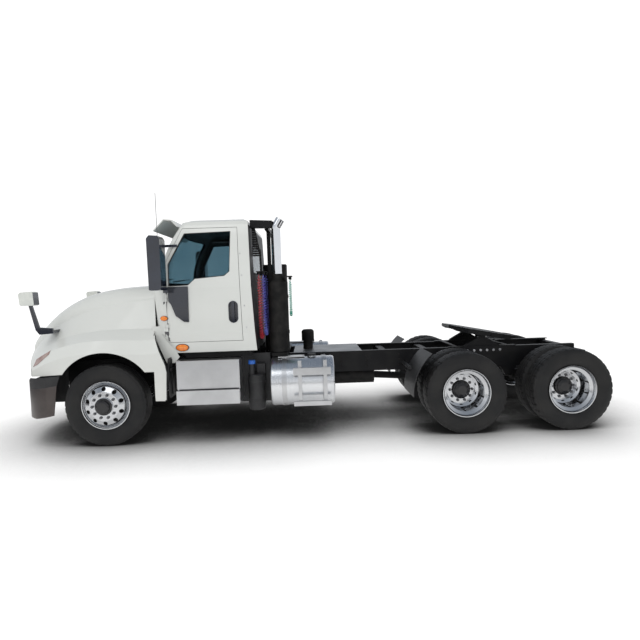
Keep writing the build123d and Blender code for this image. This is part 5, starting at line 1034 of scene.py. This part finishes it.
# %% Set out the routes
LINE_X = {"air_line_red": -1.912, "air_line_blue": -1.970, "power_line": -2.300}
LINE_EXIT_Z = 2.055
LINE_ROUTES = {
    "air_line_red": [
        (0.540, LINE_EXIT_Z), (0.540, 1.830), (0.547, 1.600), (0.540, 1.362), (0.642, 1.252),
        (0.798, 1.246), (0.904, 1.350), (0.897, 1.590), (0.903, 1.825), (0.903, LINE_EXIT_Z)],
    "air_line_blue": [
        (0.548, LINE_EXIT_Z), (0.548, 1.850), (0.540, 1.630), (0.546, 1.402), (0.648, 1.296),
        (0.802, 1.290), (0.905, 1.396), (0.899, 1.620), (0.906, 1.845), (0.906, LINE_EXIT_Z)],
    "power_line": [
        (0.630, 1.985), (0.630, 1.860), (0.636, 1.730), (0.630, 1.604), (0.703, 1.528),
        (0.809, 1.524), (0.885, 1.598), (0.881, 1.725), (0.886, 1.858), (0.886, 1.985)],
}
# outer radius, tube diameter, pitch of one turn
LINE_COILS = {"air_line_red": (0.024, 0.009, 0.034), "air_line_blue": (0.024, 0.009, 0.034),
              "power_line": (0.0175, 0.0066, 0.024)}
# name of the slot and the finish, and the finish's two colours
LINE_COLOURS = {"air_line_red": ("line_red", (0.50, 0.02, 0.03), (0.60, 0.06, 0.10)),
                "air_line_blue": ("line_blue", (0.10, 0.08, 0.45), (0.16, 0.20, 0.62)),
                "power_line": ("line_green", (0.03, 0.30, 0.20), (0.08, 0.42, 0.34))}
print("lines", len(LINE_ROUTES))

# %% Splines and the winding
STEPS_PER_TURN, SWELL_LENGTH = 12, 0.06
ROUTE_SMOOTH, COIL_SMOOTH = 24, 3


def nurbs(name, points, resolution):
    """Curve object of one smooth spline with those control points, and no bevel yet."""
    curve = bpy.data.curves.new(name, "CURVE")
    curve.dimensions = "3D"
    curve.resolution_u = resolution
    spline = curve.splines.new("NURBS")
    spline.points.add(len(points) - 1)
    for control, point in zip(spline.points, points):
        control.co = (*point, 1.0)
    spline.order_u = 3
    spline.use_endpoint_u = True
    obj = bpy.data.objects.new(name, curve)
    bpy.context.collection.objects.link(obj)
    return obj


def line_points(obj):
    """Points along a curve that has no bevel, and how far along each one is."""
    bpy.context.view_layer.update()
    mesh = bpy.data.meshes.new_from_object(obj)
    points = [vertex.co.copy() for vertex in mesh.vertices]
    bpy.data.meshes.remove(mesh)
    along = [0.0]
    for a, b in zip(points, points[1:]):
        along.append(along[-1] + (b - a).length)
    return points, along


def wind(points, along, radius, pitch):
    """Helix round a line, its radius growing from nothing at each end."""
    total = along[-1]
    turns = round(total / pitch)
    count = turns * STEPS_PER_TURN
    helix, segment = [], 0
    for number in range(count + 1):
        distance = total * number / count
        while segment < len(points) - 2 and along[segment + 1] < distance:
            segment += 1
        share = (distance - along[segment]) / (along[segment + 1] - along[segment])
        place = points[segment].lerp(points[segment + 1], share)
        heading = (points[segment + 1] - points[segment]).normalized()
        side_way = Vector((1, 0, 0))
        other_way = heading.cross(side_way).normalized()
        swell = min(1.0, distance / SWELL_LENGTH, (total - distance) / SWELL_LENGTH)
        angle = 2 * pi * number / STEPS_PER_TURN
        helix.append(place + radius * swell * (cos(angle) * side_way + sin(angle) * other_way))
    return helix


print("winding helpers ready")

# %% Wind the coils
LINE_MOTTLE, LINE_GRAIN, LINE_GRAIN_DEPTH, LINE_ROUGHNESS = 12.0, 500.0, 0.0003, 0.4
for name, route in LINE_ROUTES.items():
    outer_r, wire, pitch = LINE_COILS[name]
    guide = nurbs(f"route_{name}", [(FRONT_X + LINE_X[name], y, z) for y, z in route], ROUTE_SMOOTH)
    points, along = line_points(guide)
    bpy.data.objects.remove(guide)
    helix = wind(points, along, outer_r - wire / 2, pitch)
    coil = nurbs(f"coil_{name}", helix, COIL_SMOOTH)
    _, coil_along = line_points(coil)
    coil.data.bevel_depth = wire / 2
    coil.data.bevel_resolution = 2
    slot, color, other = LINE_COLOURS[name]
    coil.data.materials.append(plain(
        slot, color, other, LINE_MOTTLE, LINE_GRAIN, LINE_GRAIN_DEPTH, roughness=LINE_ROUGHNESS))
    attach(coil, "chassis")
    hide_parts(name)
    print(name, "route", round(along[-1], 3), "wound", round(coil_along[-1], 3), "m")

# %% [markdown]
# ## Seats
#
# The CAD's seat is a plain body, and cloth over foam has no straight edge. A cushion is a crowned closed
# form: sections of its side outline are set across the seat, and each is drawn in towards the ends. Two
# sewn channels run over it. A real seat stands on a pedestal, here a square one from the lathe.

# %% Helpers for the upholstery
CUSHION = [(-1.212, 1.502), (-1.217, 1.595), (-1.262, 1.622), (-1.450, 1.604), (-1.638, 1.586),
           (-1.658, 1.502)]
BACK = [
    (-1.565, 1.600), (-1.605, 1.850), (-1.642, 2.080), (-1.657, 2.262), (-1.692, 2.272),
    (-1.728, 2.262), (-1.743, 2.060), (-1.715, 1.800), (-1.690, 1.600)]
SEAT_Y, CHANNELS, CORNER_CUTS = 0.480, (-0.115, 0.115), (0.2, 0.8)
CHANNEL_HALF, CHANNEL_DIP = 0.012, 0.05
STATIONS, END_ROUND, LEAST_SCALE, END_SHARE = 40, 0.045, 0.05, 0.9


def rounded(outline, rounds=3):
    """Outline with its corners cut again and again, which rounds them."""
    points = [Vector(point) for point in outline]
    for _ in range(rounds):
        points = [a.lerp(b, cut) for a, b in zip(points, points[1:] + points[:1]) for cut in CORNER_CUTS]
    return points


def pad(name, outline, across, half):
    """Padded form with round ends and sewn channels."""
    ring_points = rounded(outline)
    core = sum(ring_points, Vector((0, 0))) / len(ring_points)
    mesh = bmesh.new()
    rings = []
    for station in range(STATIONS + 1):
        t = -cos(pi * station / STATIONS)
        swell = (1.0 - abs(t) ** 5) ** 0.4
        channel = max(0.0, 1.0 - min(abs(t * half - c) for c in CHANNELS) / CHANNEL_HALF)
        scale = max(LEAST_SCALE, swell) * (1.0 - CHANNEL_DIP * channel)
        ring = []
        for point in ring_points:
            offset = point - core
            drawn_in = (1.0 - scale) * END_ROUND / max(offset.length, END_ROUND)
            shrunk = core + offset * (1.0 - drawn_in if scale > LEAST_SCALE else END_SHARE)
            ring.append(mesh.verts.new((FRONT_X + shrunk.x, across + t * half, shrunk.y)))
        rings.append(ring)
    size = len(ring_points)
    for here, there in zip(rings, rings[1:]):
        for i in range(size):
            mesh.faces.new((here[i], here[(i + 1) % size], there[(i + 1) % size], there[i]))
    mesh.faces.new(rings[0])
    mesh.faces.new(list(reversed(rings[-1])))
    return place_piece(name, mesh, seat_cloth, "chassis", CLOTH_DEGREES)


print("cushion outline points", len(rounded(CUSHION)))

# %% Upholster the seats
CUSHION_HALF, BACK_HALF, PEDESTAL_BACK, PEDESTAL_TOP = 0.250, 0.240, 1.440, 1.500
# pedestal as (radius, height over the cab's floor), up to the cushion's underside
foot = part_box("cab_floor")[1].z
PEDESTAL = [(0.175, 0.0), (0.175, 0.020), (0.140, 0.040), (0.120, 0.10), (0.120, 0.16), (0.165, 0.21),
            (0.165, PEDESTAL_TOP - foot)]
for side_name, side in SIDES:
    for name, outline, half in (("cushion", CUSHION, CUSHION_HALF), ("backrest", BACK, BACK_HALF)):
        piece = pad(f"seat_{name}_{side_name}", outline, side * SEAT_Y, half)
        if name == "cushion":
            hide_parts("seats")
    base = bmesh.new()
    centre = Vector((FRONT_X - PEDESTAL_BACK, side * SEAT_Y, foot))
    lathe(base, centre, Vector((0, 0, 1)), PEDESTAL, SQUARE_STEPS)
    place_piece(f"seat_base_{side_name}", base, trim, "chassis", CRISP_DEGREES)
print("seats upholstered")

# %% [markdown]
# ## The floor
#
# The floor is pale and plain. A render of few samples makes a weak contact shade, so the floor's own
# material deepens it: ambient occlusion says how closed in a point is. Only the camera sees that, so the
# light that the floor gives back to the object is that of a plain white floor.

# %% Lay the floor
# how far the contact shade reaches, where it is full, how dark it gets, and the lift of the open floor
SHADE_REACH, SHADE_FULL, SHADE_DARKEST, OPEN_LIFT = 1.6, 0.35, 0.03, 0.12
FLOOR_WHITE, FLOOR_HALF = (0.96, 0.96, 0.96), 60.0
WHITE = (1.0, 1.0, 1.0, 1.0)


def floor_material(name, color):
    """A floor that the camera sees white in the open and dark close under the object."""
    mat, tree, shader = new_material(name, color, roughness=0.9, specular=0.0)
    near = put(tree, "AmbientOcclusion", {"Distance": SHADE_REACH}, samples=16)
    shade = put(tree, "MapRange", {
        "Value": near.outputs["AO"], "From Min": SHADE_FULL, "To Min": SHADE_DARKEST}).outputs["Result"]
    seen = put(tree, "LightPath", {}).outputs["Is Camera Ray"]
    tree.links.new(blend(tree, seen, color, shade), shader.inputs["Base Color"])
    lift = put(tree, "Math", {0: seen, 1: OPEN_LIFT}, operation="MULTIPLY").outputs["Value"]
    glow = put(tree, "Math", {0: lift, 1: shade}, operation="MULTIPLY").outputs["Value"]
    shader.inputs["Emission Color"].default_value = WHITE
    tree.links.new(glow, shader.inputs["Emission Strength"])
    return mat


floor_mesh = bmesh.new()
floor_mesh.faces.new([
    floor_mesh.verts.new((x * FLOOR_HALF, y * FLOOR_HALF, 0.0)) for x,
    y in ((-1, -1), (1, -1), (1, 1), (-1, 1))])
mesh_object("floor", floor_mesh, floor_material("floor", FLOOR_WHITE))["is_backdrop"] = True
print("floor laid")

# %% [markdown]
# ## The sky
#
# A studio is a white room, so an even white sky lights the object from all round. A mirror finish in an
# even sky looks flat. Light Path tells the rays apart: the camera sees white, matt surfaces are lit evenly,
# and a reflection meets a sky that darkens upwards, which gives metal its contrast.

# %% Light the sky
world = bpy.data.worlds.new("studio")
bpy.context.scene.world = world
world.use_nodes = True
studio = world.node_tree
sky = studio.nodes["Background"]
sky.inputs["Color"].default_value = WHITE
sky.inputs["Strength"].default_value = 1.0
backdrop = put(studio, "Background", {"Color": WHITE, "Strength": 1.15})
above = put(studio, "SeparateXYZ", {"Vector": put(studio, "TexCoord", {}).outputs["Generated"]})
ramp = put(studio, "ValToRGB", {"Fac": above.outputs["Z"]})
for stop, position, color in zip(
        ramp.color_ramp.elements, (0.02, 0.75), ((0.95, 0.97, 1.0, 1.0), (0.20, 0.24, 0.30, 1.0))):
    stop.position, stop.color = position, color
reflected = put(studio, "Background", {"Color": ramp.outputs["Color"], "Strength": 0.9})
ray_kind = put(studio, "LightPath", {})
by_glossy = put(studio, "MixShader", {
    "Fac": ray_kind.outputs["Is Glossy Ray"], 1: sky.outputs["Background"],
    2: reflected.outputs["Background"]})
by_camera = put(studio, "MixShader", {
    "Fac": ray_kind.outputs["Is Camera Ray"], 1: by_glossy.outputs["Shader"],
    2: backdrop.outputs["Background"]})
studio.links.new(by_camera.outputs["Shader"], studio.nodes["World Output"].inputs["Surface"])
print("sky", world.name)

# %% [markdown]
# ## A dark ring and a key light
#
# Polished wheels and tanks also mirror the ground, and a real yard is darker than a studio floor. A dark
# ring round the object is seen in reflections alone. One broad lamp gives the near side its soft shadows.

# %% Lay the ring and hang the lamp
RING_NEAR, RING_FAR, RING_Z, RING_STEPS = 6.5, 30.0, 0.012, 48
RING_DARK = (0.05, 0.05, 0.055)
ring_mesh = bmesh.new()
near_ring, far_ring = ([
    ring_mesh.verts.new((r * cos(2 * pi * i / RING_STEPS), r * sin(2 * pi * i / RING_STEPS), RING_Z))
    for i in range(RING_STEPS)] for r in (RING_NEAR, RING_FAR))
for i in range(RING_STEPS):
    after = (i + 1) % RING_STEPS
    ring_mesh.faces.new((near_ring[i], far_ring[i], far_ring[after], near_ring[after]))
flag_material, _, _ = new_material("ground_flag", RING_DARK, roughness=0.9, specular=0.0)
flag = mesh_object("ground_flag", ring_mesh, flag_material)
flag.visible_camera = False
flag.visible_diffuse = False
flag.visible_shadow = False
flag.visible_transmission = False
flag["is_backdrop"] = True

KEY_PLACE, KEY_TARGET = Vector((3.5, 7.0, 8.0)), Vector((0.0, 0.5, 1.0))
key = bpy.data.lights.new("key", "AREA")
key.shape = "RECTANGLE"
key.size, key.size_y = 6.0, 4.0
key.energy = 130.0
lamp = bpy.data.objects.new("key", key)
bpy.context.collection.objects.link(lamp)
facing = (KEY_TARGET - KEY_PLACE).to_track_quat("-Z", "Y").to_matrix().to_4x4()
lamp.matrix_world = Matrix.Translation(KEY_PLACE) @ facing
print("key", key.energy, "W")

# %% [markdown]
# ## The camera
#
# The camera stands at the driver's side, a little above the door handle. It could track a target, but a
# target can't say how the camera is rolled, so it is given as a place and three angles, and its lens as a
# focal length in pixels of a frame 640 wide.

# %% Place the camera
CAMERA_PLACE = (FRONT_X - 2.5528, 7.2660, 1.8551)
YAW, PITCH, ROLL = 0.0182, -0.0627, -0.0325
FRAME_SIZE, FOCAL = 640.0, 500.4

forward = Vector((-sin(YAW), -cos(YAW), 0.0))
right = Vector((-cos(YAW), sin(YAW), 0.0))
up = Vector((0.0, 0.0, 1.0))
aim = forward * cos(PITCH) + up * sin(PITCH)
lifted = up * cos(PITCH) - forward * sin(PITCH)
across = right * cos(ROLL) + lifted * sin(ROLL)
upward = lifted * cos(ROLL) - right * sin(ROLL)

camera_data = bpy.data.cameras.new("camera")
camera_data.sensor_width = 36.0
camera_data.lens = FOCAL / FRAME_SIZE * camera_data.sensor_width
camera_data.clip_end = 200.0
camera = bpy.data.objects.new("camera", camera_data)
bpy.context.collection.objects.link(camera)
turn = Matrix((across, upward, -aim)).transposed().to_4x4()
camera.matrix_world = Matrix.Translation(CAMERA_PLACE) @ turn
bpy.context.scene.camera = camera
bpy.context.scene.view_settings.view_transform = "Standard"
print("camera at", tuple(round(v, 3) for v in CAMERA_PLACE))

# %% [markdown]
# ## Sizes
#
# Dressing must not change how big the object is.

# %% Compare the sizes and finish
for box_name, (low, high) in (("CAD", cad_box), ("dressed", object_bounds())):
    print(box_name, "size", [round(far - near, 3) for near, far in zip(low, high)])
